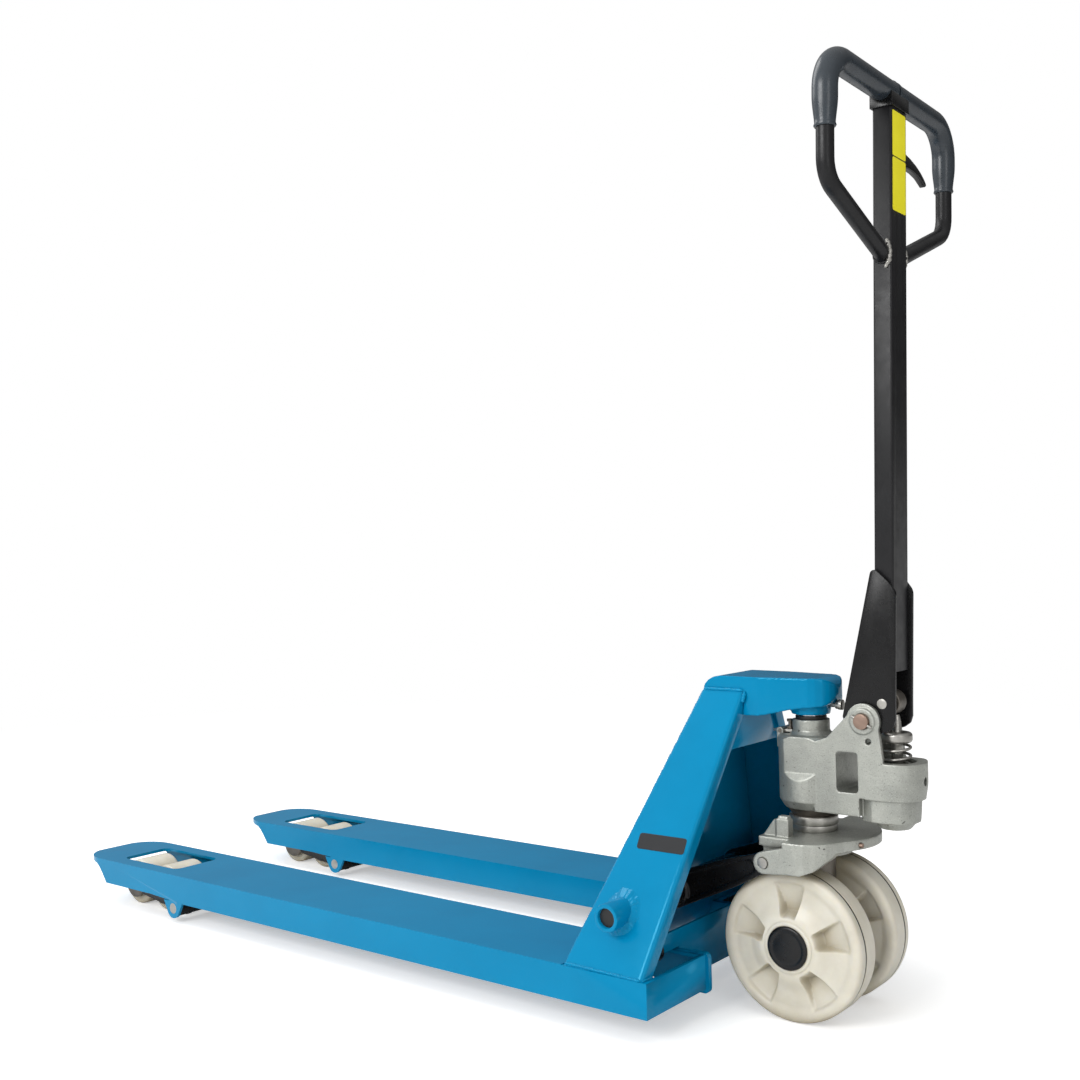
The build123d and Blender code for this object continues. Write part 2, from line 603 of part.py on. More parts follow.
def lean(part):
    return Pos(COLUMN_X, 0, LEAN_Z) * Rot(0, -LEAN_DEG, 0) * Pos(0, 0, -LEAN_Z) * part


def column_bar(inset, bottom, top):
    half_x, half_y = COLUMN_HALF_X - inset, COLUMN_HALF_Y - inset
    return box(-half_x, half_x, -half_y, half_y, bottom, top)


column_block = column_bar(0, COLUMN_BOTTOM, COLUMN_TOP)


def handle_column():
    column = rounded(column_block, column_block.edges().filter_by(Axis.Z), 3)
    column -= column_bar(COLUMN_WALL, 450, COLUMN_TOP - 4)
    # trigger slot in the right side
    column -= box(-5.5, 5.5, -40, -15, 1108, 1166)
    column -= cyl_x(TRIGGER_AXIS, TRIGGER_PIN_R, -20, 20)
    return column


def handle_loop():
    path = round_path([(21.0, 1003), (LOOP_Y, 1068), (LOOP_Y, LOOP_TOP), (-LOOP_Y, LOOP_TOP),
                       (-LOOP_Y, 1068), (-21.0, 1003)], [34, LOOP_BEND, LOOP_BEND, 34])
    loop = tube(path, 11) - column_block
    for side in (-1, 1):
        # weld bead where the loop meets the column
        bead = (Pos(0, side * COLUMN_HALF_Y, 1004.7) * Rot(side * 21.0, 0, 0) * Rot(90, 0, 0)
                * Cylinder(12.2, 7))
        loop += bead - column_block
    return loop


def grip(loop):
    path = round_path([(1.5, LOOP_TOP), (LOOP_Y, LOOP_TOP), (LOOP_Y, 1164)], [LOOP_BEND])
    body = tube(path, GRIP_R)
    body += cone_z((0, LOOP_Y), 12.8, GRIP_R, 1130, 1164.2)
    body += cyl_z((0, LOOP_Y), 13.6, 1127, 1130.5)
    return body - loop - column_block


def sticker(bottom, top):
    """Thin plate on the rear face of the column."""
    return box(-COLUMN_HALF_X - 0.5, -COLUMN_HALF_X, -21, 21, bottom, top)


def release_trigger():
    half = 4.5
    trigger = prism_x(TRIGGER, -half, half)
    trigger += cyl_x(TRIGGER_AXIS, 8.5, -half, half)
    trigger -= cyl_x(TRIGGER_AXIS, TRIGGER_PIN_R + RUN, -10, 10)
    return trigger


def handle_cheek():
    """Left one of the two plates beside the column."""
    inner, outer = 25, 31
    plate = prism_y(CHEEK_PLATE, inner, outer) + cyl_y(HANDLE_PIVOT, 20, inner, outer)
    plate -= cyl_y(HANDLE_PIVOT, HANDLE_PIN_R + RUN, 0, 60)
    plate -= cyl_y(PUMP_ROLLER, PUMP_PIN_R, 0, 60)
    return plate


def pump_roller():
    roller = cyl_y(PUMP_ROLLER, PUMP_ROLLER_R, -12, 12)
    roller = rounded(roller, roller.edges().filter_by(GeomType.CIRCLE), 1.5)
    return roller - cyl_y(PUMP_ROLLER, PUMP_PIN_R + RUN, -30, 30)


def plunger():
    cap = cyl_z(PLUNGER, 20, 368, 382)
    cap = rounded(cap, cap.edges().filter_by(GeomType.CIRCLE), 5)
    return (cyl_z(PLUNGER, PLUNGER_R, 305, 369) + cap + cyl_z(PLUNGER, 6, 380, 396)
            + cone_z(PLUNGER, 6, 4.2, 396, 404.2))


loop = handle_loop()
grip_left = grip(loop)
grip_right = flip(grip_left)
saddle = box(-15.5, 15.5, -27.5, 27.5, 1194, 1212) - column_block - loop - grip_left - grip_right
parts["handle_column"] = lean(handle_column())
parts["handle_loop"] = lean(loop)
parts["grip_left"] = lean(grip_left)
parts["grip_right"] = lean(grip_right)
parts["grip_saddle"] = lean(saddle)
parts["sticker_upper"] = lean(sticker(1131, 1190))
parts["sticker_lower"] = lean(sticker(1060, 1129.5))
parts["trigger_pin"] = lean(cyl_x(TRIGGER_AXIS, TRIGGER_PIN_R, -COLUMN_HALF_X,
                                  COLUMN_HALF_X + 1.5))
parts["release_trigger"] = lean(release_trigger())
parts["control_rod"] = lean(cyl_z((0, 11), 2.5, 446, 1130.4))
add_pair("handle_cheek", handle_cheek())
parts["pump_roller_pin"] = cyl_y(PUMP_ROLLER, PUMP_PIN_R, -31.4, 31.4)
parts["pump_roller"] = pump_roller()
parts["plunger"] = plunger()
parts["plunger_spring"] = (Pos(PLUNGER_X, 0, 293.2)
                           * tube(Helix(pitch=12.13, height=72.8, radius=17.0), 1.9))


# -------------------------------------------------------------------- rocker
def along(distance, offset=0.0):
    """Point (x, z) from the rocker shaft towards the cradle pin, offset square to that line."""
    return (SHAFT[0] - distance * cos(ROCKER_ANGLE) - offset * sin(ROCKER_ANGLE),
            SHAFT[1] + distance * sin(ROCKER_ANGLE) - offset * cos(ROCKER_ANGLE))


def rocker():
    body = cyl_y(SHAFT, 20, -192, 192)
    knee = along(95)
    slot_start, slot_end, slot_r = along(ROCKER_RUN - 0.6), along(ROCKER_REACH), 8.4
    recess_end = along(ROCKER_REACH - 30)
    for side in (-1, 1):
        arm = span(side, 82, 91.5)
        body += link(SHAFT, 24, knee, 19.5, *arm) + link(knee, 19.5, CRADLE_PIN, 12, *arm)
        # slot at the cradle pin
        body -= link(slot_start, slot_r, slot_end, slot_r, arm[0] - 5, arm[1] + 5)
        # shallow recess in the outer face, leaving a lip on both edges
        depth = span(side, 88, 95)
        recess = link(SHAFT, 17, knee, 13.5, *depth) + link(knee, 13.5, recess_end, 9, *depth)
        body -= recess - cyl_y(SHAFT, 23, -100, 100)
        # clevis arms down to the push rod
        for near, far in ((173, 179.5), (195.5, 199.5)):
            body += link(SHAFT, 20, ROD_EYE, 14, *span(side, near, far))
        body += cyl_y(ROD_EYE, EYE_PIN_R, *span(side, 178, 197))
    # web between the arms, next to the shaft tube
    body += prism_y([along(14, -5), along(14, 5), along(46, 5), along(46, -5)], -83, 83)
    body -= cyl_y(SHAFT, SHAFT_R, -210, 210)
    return body


parts["rocker"] = rocker()


# --------------------------------------- push rods, roller brackets, rollers
def push_rod(fork_y):
    y0, y1 = fork_y - 7.5, fork_y + 7.5
    eye_x, eye_z = ROD_EYE
    pin_x, pin_z = ROD_PIN
    rod = cyl_y(ROD_EYE, 14, y0, y1)
    # side view (x, z) of the bar
    bar = [(eye_x - 6, eye_z + 12), (eye_x + 7, eye_z + 10), (178, 77), (190, 74.5),
           (215, 74.5), (1046, 74.5), (1056, 76.5), (1063.6, 76.5), (1063.6, 50), (215, 50),
           (190, 52), (eye_x + 12, eye_z - 14), (eye_x, eye_z - 14)]
    rod += prism_y(bar, y0, y1)
    # wider end with an upward open slot for the bracket pin
    end = [(1040, 50), (1040, 74.5), (1056, 76.5), (pin_x + 16, 76.5), (pin_x + 16, 50)]
    rod += prism_y(end, fork_y - 11, fork_y + 11)
    slot_r = 6.4
    rod -= box(pin_x - slot_r, pin_x + slot_r, fork_y - 20, fork_y + 20, pin_z, 90)
    rod -= cyl_y(ROD_PIN, slot_r, fork_y - 20, fork_y + 20)
    rod -= cyl_y(ROD_EYE, EYE_PIN_R + RUN, fork_y - 20, fork_y + 20)
    return rod


def bracket(fork_y):
    body = cyl_y(BRACKET_AXLE, 15, fork_y - 69, fork_y + 69)
    for side in (-1, 1):
        y0, y1 = [fork_y + y for y in span(side, 43, 49)]
        body += (link(BRACKET_AXLE, 16, BEAM_PIVOT, 15, y0, y1)
                 + link(BRACKET_AXLE, 16, ROD_PIN, 8.6, y0, y1))
        body -= cyl_y(BEAM_PIVOT, BEAM_PIN_R + RUN, y0 - 1, y1 + 1)
    body += cyl_y(ROD_PIN, 6, fork_y - 44, fork_y + 44)
    body -= cyl_y(BRACKET_AXLE, BRACKET_AXLE_R + RUN, fork_y - 80, fork_y + 80)
    return body


REAR_ROLLER = (BEAM_PIVOT[0] - ROLLER_DX, BEAM_PIVOT[1])
FRONT_ROLLER = (BEAM_PIVOT[0] + ROLLER_DX, BEAM_PIVOT[1])


def beam_side(fork_y, side):
    """One side plate of the tandem beam with its pivot stub."""
    y0, y1 = [fork_y + y for y in span(side, 36, 42)]
    plate = link(REAR_ROLLER, 15, FRONT_ROLLER, 15, y0, y1)
    plate += cyl_y(REAR_ROLLER, 26, y0, y1) + cyl_y(FRONT_ROLLER, 26, y0, y1)
    return plate + cyl_y(BEAM_PIVOT, BEAM_PIN_R, *[fork_y + y for y in span(side, 41, 49.5)])


def tandem_beam(fork_y):
    body = beam_side(fork_y, -1) + beam_side(fork_y, 1)
    for centre in (REAR_ROLLER, FRONT_ROLLER):
        body += cyl_y(centre, ROLLER_AXLE_R, fork_y - 40, fork_y + 40)
    return body


def load_roller(centre, fork_y):
    half = ROLLER_W / 2
    roller = cyl_y(centre, ROLLER_R, fork_y - half, fork_y + half)
    roller = rounded(roller, roller.edges().filter_by(GeomType.CIRCLE), 2.5)
    # shallow round recess in each face
    for y0, y1 in ((fork_y - 40, fork_y - half + 3), (fork_y + half - 3, fork_y + 40)):
        roller -= cyl_y(centre, 23.5, y0, y1)
    roller -= cyl_y(centre, ROLLER_AXLE_R + RUN, fork_y - 50, fork_y + 50)
    return roller


for name, fork_y in (("left", FORK_Y), ("right", -FORK_Y)):
    parts["bracket_axle_" + name] = cyl_y(BRACKET_AXLE, BRACKET_AXLE_R,
                                          fork_y - FORK_HALF, fork_y + FORK_HALF)
    parts["push_rod_" + name] = push_rod(fork_y)
    parts["bracket_" + name] = bracket(fork_y)
    parts["tandem_beam_" + name] = tandem_beam(fork_y)
    parts["roller_rear_" + name] = load_roller(REAR_ROLLER, fork_y)
    parts["roller_front_" + name] = load_roller(FRONT_ROLLER, fork_y)

# -------------------------------------------------------------------- export
for name, part in parts.items():
    solids = part.solids()
    placed = Pos(-ORIGIN_X, 0, 0) * (solids[0] if len(solids) == 1 else part)
    placed.label = name
    export_step(placed, "parts/" + name + ".step")
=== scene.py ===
# A hand pallet truck: steering wheels, pump and handle at the rear, two forks to the front.
# Working dimensions are millimetres: X runs forward from the steering axis to the fork tips,
# Y to the left and Z up from the floor. point() turns them into the metres of the scene,
# whose origin lies AXIS_OFFSET in front of the steering axis.
import bpy
import bmesh
import json
import math
import numpy as np
from math import sin, cos, pi, radians
from mathutils import Vector, Matrix, noise

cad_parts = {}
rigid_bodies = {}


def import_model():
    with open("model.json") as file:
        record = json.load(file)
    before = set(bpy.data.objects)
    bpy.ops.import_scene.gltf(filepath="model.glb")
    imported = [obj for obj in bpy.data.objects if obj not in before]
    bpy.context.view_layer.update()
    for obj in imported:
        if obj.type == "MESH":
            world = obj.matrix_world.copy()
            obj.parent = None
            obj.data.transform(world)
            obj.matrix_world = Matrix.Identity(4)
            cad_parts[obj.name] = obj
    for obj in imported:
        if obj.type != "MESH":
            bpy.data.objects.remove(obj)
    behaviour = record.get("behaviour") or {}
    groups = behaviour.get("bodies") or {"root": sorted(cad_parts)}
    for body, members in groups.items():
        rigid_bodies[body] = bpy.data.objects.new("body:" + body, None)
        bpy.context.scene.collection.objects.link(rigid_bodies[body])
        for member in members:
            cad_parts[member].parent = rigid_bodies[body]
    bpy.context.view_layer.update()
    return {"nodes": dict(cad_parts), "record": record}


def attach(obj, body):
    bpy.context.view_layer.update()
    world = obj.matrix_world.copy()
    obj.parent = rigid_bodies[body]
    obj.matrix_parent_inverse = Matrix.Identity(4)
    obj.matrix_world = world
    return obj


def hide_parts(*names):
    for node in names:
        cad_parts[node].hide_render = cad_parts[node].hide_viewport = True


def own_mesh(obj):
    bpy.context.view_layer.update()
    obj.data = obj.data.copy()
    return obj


AXIS_OFFSET = 612.5
SIDES = ((1, "left"), (-1, "right"))
AXIS_RADIUS = 0.05                # stands in for a radius of zero in turned profiles

# steering wheels, standing on the floor
WHEEL_RADIUS = 100
WHEEL_CENTRE = (0, WHEEL_RADIUS)  # x, z
WHEEL_OUTER_Y = 79.0
WHEEL_INNER_Y = 30.0
WHEEL_SEGMENTS = 320
POCKET_PITCH = 2 * pi / 5

# load rollers, in pairs under each fork
ROLLER_MID_X = 1213.5
ROLLER_Z = 40.0
ROLLER_HALF_PITCH = 41.5
FORK_Y = 187.5

# pump, handle column and handle loop
PLUNGER_X = -122
COLUMN_X = -115.8
COLUMN_FOOT_Z = 400
COLUMN_TILT = radians(1.39)
LOOP_HALF_WIDTH = 190
LOOP_TOP = 1218
LOOP_BEND = 52
LOOP_FOOT_Y = 25.2

# leaning side gussets and the rocker shaft through them
GUSSET_LEAN = 0.605               # inward run per unit of height
LEAN_ANGLE = math.atan(GUSSET_LEAN)
LEAN_COS = cos(LEAN_ANGLE)
GUSSET_DATUM = 84
GUSSET_BOTTOM, GUSSET_TOP = 82.0, 431.0
GUSSET_THICKNESS = 5
SHAFT_X, SHAFT_Z = 171.0, 152.0

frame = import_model()
nodes = frame["nodes"]
scene = bpy.context.scene
for old in list(bpy.data.objects):
    if old.type in ("CAMERA", "LIGHT"):
        bpy.data.objects.remove(old)


# ------------------------------------------------------------------ materials
class Nodes:
    """Short ways to add and link the nodes of a tree."""

    def __init__(self, tree):
        self.tree = tree

    def node(self, kind, **settings):
        added = self.tree.nodes.new(kind)
        for key, value in settings.items():
            setattr(added, key, value)
        return added

    def link(self, source, target):
        self.tree.links.new(source, target)

    def put(self, target, value):
        """Link a socket to an input, or set the input's value."""
        if isinstance(value, bpy.types.NodeSocket):
            self.link(value, target)
        else:
            target.default_value = value

    def remap(self, value, span, to):
        added = self.node("ShaderNodeMapRange")
        self.link(value, added.inputs["Value"])
        for key, number in zip(("From Min", "From Max", "To Min", "To Max"), (*span, *to)):
            added.inputs[key].default_value = number
        return added.outputs["Result"]

    def multiply(self, first, second):
        added = self.node("ShaderNodeMath", operation="MULTIPLY")
        self.put(added.inputs[0], first)
        self.put(added.inputs[1], second)
        return added.outputs[0]


MATERIALS = {}


class Surface(Nodes):
    """A named material round its Principled BSDF."""

    def __init__(self, name, coords=True):
        self.material = bpy.data.materials.new(name)
        self.material.use_nodes = True
        super().__init__(self.material.node_tree)
        self.bsdf = self.tree.nodes["Principled BSDF"]
        if coords:
            self.coords = self.node("ShaderNodeTexCoord").outputs["Object"]
        self.normal = None
        MATERIALS[name] = self.material

    def noise(self, scale, detail=4, rough=0.55, vector=None):
        added = self.node("ShaderNodeTexNoise")
        added.inputs["Scale"].default_value = scale
        added.inputs["Detail"].default_value = detail
        added.inputs["Roughness"].default_value = rough
        self.link(vector or self.coords, added.inputs["Vector"])
        return added.outputs["Fac"]

    def mottle(self, dark, light, scale, detail=4, rough=0.55, span=(0.3, 0.75)):
        """Noise ramped between two colours."""
        value = self.noise(scale, detail, rough)
        added = self.node("ShaderNodeValToRGB")
        for i, colour in enumerate((dark, light)):
            added.color_ramp.elements[i].position = span[i]
            added.color_ramp.elements[i].color = (*colour, 1)
        self.link(value, added.inputs["Fac"])
        return added.outputs["Color"]

    def varied(self, scale, detail, low, high):
        """Noise spread over a range of values."""
        return self.remap(self.noise(scale, detail), span=(0.3, 0.7), to=(low, high))

    def tint(self, factor, base, colour):
        added = self.node("ShaderNodeMix", data_type="RGBA")
        self.link(factor, added.inputs[0])
        self.link(base, added.inputs[6])
        added.inputs[7].default_value = (*colour, 1)
        return added.outputs[2]

    def occlusion(self, distance):
        added = self.node("ShaderNodeAmbientOcclusion", samples=6)
        added.inputs["Distance"].default_value = distance
        return added.outputs["AO"]

    def bump(self, height, strength, distance):
        """Lay one more bump, distance in metres, over those already there."""
        added = self.node("ShaderNodeBump")
        added.inputs["Strength"].default_value = strength
        added.inputs["Distance"].default_value = distance
        self.link(height, added.inputs["Height"])
        if self.normal is not None:
            self.link(self.normal, added.inputs["Normal"])
        self.normal = added.outputs["Normal"]
        self.link(self.normal, self.bsdf.inputs["Normal"])

    def set(self, **values):
        for key, value in values.items():
            self.put(self.bsdf.inputs[key.replace("_", " ")], value)


def srgb(*channels):
    def linear(value):
        value /= 255
        return value / 12.92 if value <= 0.04045 else ((value + 0.055) / 1.055) ** 2.4
    return tuple(linear(channel) for channel in channels)


def blue_paint():
    mat = Surface("blue_paint")
    colour = mat.mottle(srgb(0, 120, 165), srgb(0, 127, 173), scale=7, detail=3, span=(0.30, 0.72))
    geometry = mat.node("ShaderNodeNewGeometry")
    normal = mat.node("ShaderNodeSeparateXYZ")
    mat.link(geometry.outputs["True Normal"], normal.inputs[0])
    mat.set(Base_Color=colour, Roughness=mat.varied(scale=55, detail=4, low=0.13, high=0.19))
    # faces that look up shine less
    mat.set(Specular_IOR_Level=mat.remap(normal.outputs["Z"], span=(0.80, 0.97), to=(0.45, 0.10)),
            Specular_Tint=(0.22, 0.80, 1.0, 1))
    mat.bump(mat.noise(scale=60, detail=2, rough=0.4), strength=0.03, distance=0.001)
    mat.bump(mat.noise(scale=16, detail=2), strength=0.04, distance=0.002)


def silver_casting():
    mat = Surface("silver_casting")
    colour = mat.mottle(srgb(148, 150, 144), srgb(182, 184, 176), scale=14, rough=0.6,
                        span=(0.25, 0.75))
    # painted shade: darker in the hollows, taken from ambient occlusion
    painted_hollow_shade = mat.remap(mat.occlusion(distance=0.03), span=(0.3, 0.85), to=(0.55, 0.0))
    colour = mat.tint(painted_hollow_shade, colour, srgb(62, 62, 58))
    specks = mat.remap(mat.noise(scale=620, detail=3, rough=0.65), span=(0.56, 0.70), to=(0, 0.55))
    colour = mat.tint(specks, colour, srgb(84, 85, 80))
    glints = mat.remap(mat.noise(scale=780, detail=2, rough=0.6), span=(0.62, 0.72), to=(0, 0.55))
    colour = mat.tint(glints, colour, srgb(224, 225, 218))
    # painted highlight: lighter in patches along the convex edges
    geometry = mat.node("ShaderNodeNewGeometry")
    edges = mat.remap(geometry.outputs["Pointiness"], span=(0.53, 0.60), to=(0, 1))
    edge_highlight_patches = mat.remap(mat.noise(scale=90, detail=3, rough=0.6), span=(0.35, 0.6), to=(0.2, 0.8))
    colour = mat.tint(mat.multiply(edges, edge_highlight_patches), colour, srgb(226, 227, 220))
    pits = mat.remap(mat.noise(scale=150, detail=2, rough=0.5), span=(0.70, 0.76), to=(0, 0.8))
    colour = mat.tint(pits, colour, srgb(50, 50, 46))
    mat.set(Base_Color=colour, Metallic=0.62,
            Roughness=mat.varied(scale=240, detail=4, low=0.30, high=0.48))
    mat.bump(mat.noise(scale=380, detail=5, rough=0.7), strength=0.42, distance=0.0009)
    mat.bump(mat.noise(scale=60, detail=3), strength=0.25, distance=0.0022)
    mat.bump(pits, strength=-0.4, distance=0.0006)


def black(name, dark, light, rough, specular, grain=700):
    mat = Surface(name)
    mat.set(Base_Color=mat.mottle(dark, light, scale=22),
            Roughness=mat.varied(scale=60, detail=4, low=rough - 0.05, high=rough + 0.07),
            Specular_IOR_Level=specular)
    mat.bump(mat.noise(scale=grain, detail=3, rough=0.6), strength=0.14, distance=0.0005)
    mat.bump(mat.noise(scale=30, detail=2), strength=0.06, distance=0.002)


def metal(name, dark, light, rough, metallic=1.0, brushed=None, grain=400):
    mat = Surface(name)
    colour = mat.mottle(dark, light, scale=40, detail=5, rough=0.6, span=(0.3, 0.72))
    mat.set(Base_Color=colour, Metallic=metallic,
            Roughness=mat.varied(scale=120, detail=4, low=rough - 0.06, high=rough + 0.08))
    mat.bump(mat.noise(scale=grain, detail=3, rough=0.6), strength=0.12, distance=0.0004)
    if brushed:
        mapping = mat.node("ShaderNodeMapping")
        mapping.inputs["Scale"].default_value = brushed
        mat.link(mat.coords, mapping.inputs["Vector"])
        streaks = mat.noise(scale=90, detail=4, rough=0.6, vector=mapping.outputs["Vector"])
        mat.bump(streaks, strength=0.15, distance=0.0004)


def nylon():
    mat = Surface("nylon")
    colour = mat.mottle(srgb(205, 199, 183), srgb(226, 222, 209), scale=16, rough=0.6,
                        span=(0.25, 0.75))
    grime = mat.remap(mat.noise(scale=60, detail=5, rough=0.7), span=(0.58, 0.82), to=(0, 0.16))
    colour = mat.tint(grime, colour, srgb(172, 164, 142))
    # painted shade: darker in the hollows, taken from ambient occlusion
    painted_hollow_shade = mat.remap(mat.occlusion(distance=0.045), span=(0.35, 0.95), to=(0.75, 0.0))
    colour = mat.tint(painted_hollow_shade, colour, srgb(148, 136, 108))
    mat.set(Base_Color=colour, Roughness=mat.varied(scale=80, detail=3, low=0.28, high=0.42),
            Subsurface_Weight=0.35, Subsurface_Radius=(0.012, 0.010, 0.006),
            Subsurface_Scale=0.5)
    mat.bump(mat.noise(scale=260, detail=3), strength=0.07, distance=0.0006)
    mat.bump(mat.noise(scale=45, detail=2), strength=0.08, distance=0.002)


def plain(name, dark, light, rough, bump=0.1):
    mat = Surface(name)
    mat.set(Base_Color=mat.mottle(dark, light, scale=30), Roughness=rough)
    mat.bump(mat.noise(scale=500, detail=3), strength=bump, distance=0.0004)


def grip_rubber():
    mat = Surface("grip_rubber")
    mat.set(Base_Color=mat.mottle(srgb(38, 44, 50), srgb(50, 58, 65), scale=18, detail=3),
            Roughness=mat.varied(scale=70, detail=3, low=0.24, high=0.34),
            Specular_IOR_Level=0.55)
    mat.bump(mat.noise(scale=26, detail=2), strength=0.04, distance=0.002)


blue_paint()
silver_casting()
black("black_paint", srgb(14, 14, 15), srgb(20, 20, 21), rough=0.26, specular=0.26)
black("column_paint", srgb(17, 17, 19), srgb(25, 25, 27), rough=0.36, specular=0.30)
metal("chrome", (0.70, 0.70, 0.72), (0.80, 0.80, 0.82), rough=0.12, brushed=(1, 1, 60))
metal("zinc_steel", srgb(150, 148, 143), srgb(190, 188, 182), rough=0.34, metallic=0.9, grain=260)
metal("dark_steel", srgb(92, 88, 82), srgb(128, 122, 114), rough=0.42, metallic=0.85)
metal("copper_steel", srgb(122, 102, 90), srgb(160, 136, 122), rough=0.40, metallic=0.75,
      grain=300)
nylon()
black("black_plastic", srgb(10, 10, 11), srgb(16, 16, 17), rough=0.26, specular=0.4, grain=900)
grip_rubber()
plain("sticker_yellow", srgb(250, 238, 28), srgb(255, 246, 44), rough=0.45, bump=0.03)
plain("label_black", srgb(8, 11, 16), srgb(12, 16, 22), rough=0.62, bump=0.03)
plain("seal", srgb(16, 16, 16), srgb(26, 26, 26), rough=0.5)


# ------------------------------------------------------------ objects and CAD nodes
def point(x, y, z):
    return Vector(((x - AXIS_OFFSET) / 1000, y / 1000, z / 1000))


def column_point(x, y, z):
    """A point in the tilted column's frame, with z as on an upright column."""
    up = z - COLUMN_FOOT_Z
    return point(COLUMN_X + x * cos(COLUMN_TILT) - up * sin(COLUMN_TILT), y,
                 COLUMN_FOOT_Z + x * sin(COLUMN_TILT) + up * cos(COLUMN_TILT))


def noise_at(x, y, z):
    return noise.noise(Vector((x, y, z)))


def ease(start, end, value):
    """Smooth step from 0 at start to 1 at end."""
    t = max(0.0, min(1.0, (value - start) / (end - start)))
    return t * t * (3 - 2 * t)


def set_material(mesh, name):
    mesh.materials.clear()
    mesh.materials.append(MATERIALS[name])


def shade(mesh, sharp_angle=None):
    for polygon in mesh.polygons:
        polygon.use_smooth = True
    if sharp_angle:
        mesh.set_sharp_from_angle(angle=radians(sharp_angle))


def add_object(name, data):
    obj = bpy.data.objects.new(name, data)
    scene.collection.objects.link(obj)
    return obj


def modify(obj, name, kind, **settings):
    modifier = obj.modifiers.new(name, kind)
    for key, value in settings.items():
        setattr(modifier, key, value)


def bevel(obj, width, segments):
    modify(obj, "bevel", "BEVEL", width=width / 1000, segments=segments, limit_method="ANGLE",
           angle_limit=radians(32), use_clamp_overlap=True)


def recalc_normals(mesh):
    work = bmesh.new()
    work.from_mesh(mesh)
    bmesh.ops.recalc_face_normals(work, faces=work.faces)
    work.to_mesh(mesh)
    work.free()


def evaluated_mesh(obj):
    depsgraph = bpy.context.evaluated_depsgraph_get()
    return bpy.data.meshes.new_from_object(obj.evaluated_get(depsgraph), depsgraph=depsgraph)


def register(obj, material, body, replaces):
    set_material(obj.data, material)
    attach(obj, body)
    if replaces:
        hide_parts(*replaces)


def dress(obj, material, body, replaces, smooth):
    recalc_normals(obj.data)
    shade(obj.data, smooth)
    obj.cycles.shadow_terminator_geometry_offset = 0.35
    obj.cycles.shadow_terminator_offset = 0.08
    register(obj, material, body, replaces)


def new_piece(name, shape, material, body, replaces=(), smooth=35.0):
    """Make an object of shape = (verts, faces); edges over smooth degrees stay sharp."""
    verts, faces = shape
    mesh = bpy.data.meshes.new(name)
    mesh.from_pydata(verts, [], faces)
    mesh.validate()
    obj = add_object(name, mesh)
    dress(obj, material, body, replaces, smooth)
    return obj


for part in frame["record"]["subparts"]:
    if part["node"] in nodes:
        set_material(nodes[part["node"]].data, part["material_slot"])
for cad_node in nodes.values():
    shade(cad_node.data, 30)


# ------------------------------------------------------------- mesh builders
def round_corners(corners, steps=5):
    """Round a plane outline; each corner is (across, up, radius)."""
    rounded = []
    count = len(corners)
    for i in range(count):
        corner, radius = Vector(corners[i][:2]), corners[i][2]
        if radius <= 0:
            rounded.append(corner)
            continue
        back = Vector(corners[i - 1][:2]) - corner
        ahead = Vector(corners[(i + 1) % count][:2]) - corner
        back_length, ahead_length = back.length, ahead.length
        back, ahead = back / back_length, ahead / ahead_length
        half = math.acos(max(-0.99999, min(0.99999, back.dot(ahead)))) / 2
        setback = min(radius / math.tan(half), back_length * 0.49, ahead_length * 0.49)
        radius = setback * math.tan(half)
        centre = corner + (back + ahead).normalized() * (radius / sin(half))
        start = corner + back * setback - centre
        end = corner + ahead * setback - centre
        sweep = start.angle(end) if start.length > 1e-9 else 0
        if sweep < 1e-4:
            rounded.append(corner)
            continue
        for j in range(steps + 1):
            t = j / steps
            spoke = start * sin((1 - t) * sweep) + end * sin(t * sweep)
            rounded.append(centre + spoke / sin(sweep))
    return rounded


def skin(rows, closed=False):
    """Join rings of equal length; the last joins the first if closed, else ends are capped."""
    count, size = len(rows), len(rows[0])
    verts = [tuple(place) for row in rows for place in row]
    faces = []
    for i in range(count if closed else count - 1):
        here, there = i * size, ((i + 1) % count) * size
        for j in range(size):
            k = (j + 1) % size
            faces.append((here + j, here + k, there + k, there + j))
    if not closed:
        faces.append(tuple(range(size)))
        faces.append(tuple((count - 1) * size + j for j in range(size)))
    return verts, faces


def turn_angles(count):
    return [2 * pi * j / count for j in range(count)]


def lathe(profile, centre, segments, hollow=False, side=1):
    """Turn (radius, y) points round an axis along Y; centre is (x, z)."""
    rows = [[point(centre[0] + radius * cos(a), side * y, centre[1] + radius * sin(a))
             for a in turn_angles(segments)] for radius, y in profile]
    return skin(rows, hollow)


def tube(path, radius, segments):
    """Sweep a circle along a path; path and radius (number or list) are in metres."""
    radii = radius if isinstance(radius, list) else [radius] * len(path)
    rows = []
    first = (path[1] - path[0]).normalized()
    helper = Vector((0, 0, 1)) if abs(first.z) < 0.9 else Vector((1, 0, 0))
    across = first.cross(helper).normalized()
    last = len(path) - 1
    for i, centre in enumerate(path):
        along = (path[min(i + 1, last)] - path[max(i - 1, 0)]).normalized()
        across = (across - along * across.dot(along)).normalized()
        other = along.cross(across)
        rows.append([centre + (across * cos(a) + other * sin(a)) * radii[i]
                     for a in turn_angles(segments)])
    return skin(rows)


def resample(points, step):
    spaced = [points[0].copy()]
    carry = 0.0
    for start, end in zip(points[:-1], points[1:]):
        length = (end - start).length
        if length < 1e-9:
            continue
        distance = step - carry
        while distance <= length:
            spaced.append(start + (end - start) * (distance / length))
            distance += step
        carry = length - (distance - step)
    if (spaced[-1] - points[-1]).length > step * 0.2:
        spaced.append(points[-1].copy())
    return spaced


def merge(shapes):
    verts, faces = [], []
    for shape_verts, shape_faces in shapes:
        first = len(verts)
        verts += shape_verts
        faces += [tuple(i + first for i in face) for face in shape_faces]
    return verts, faces


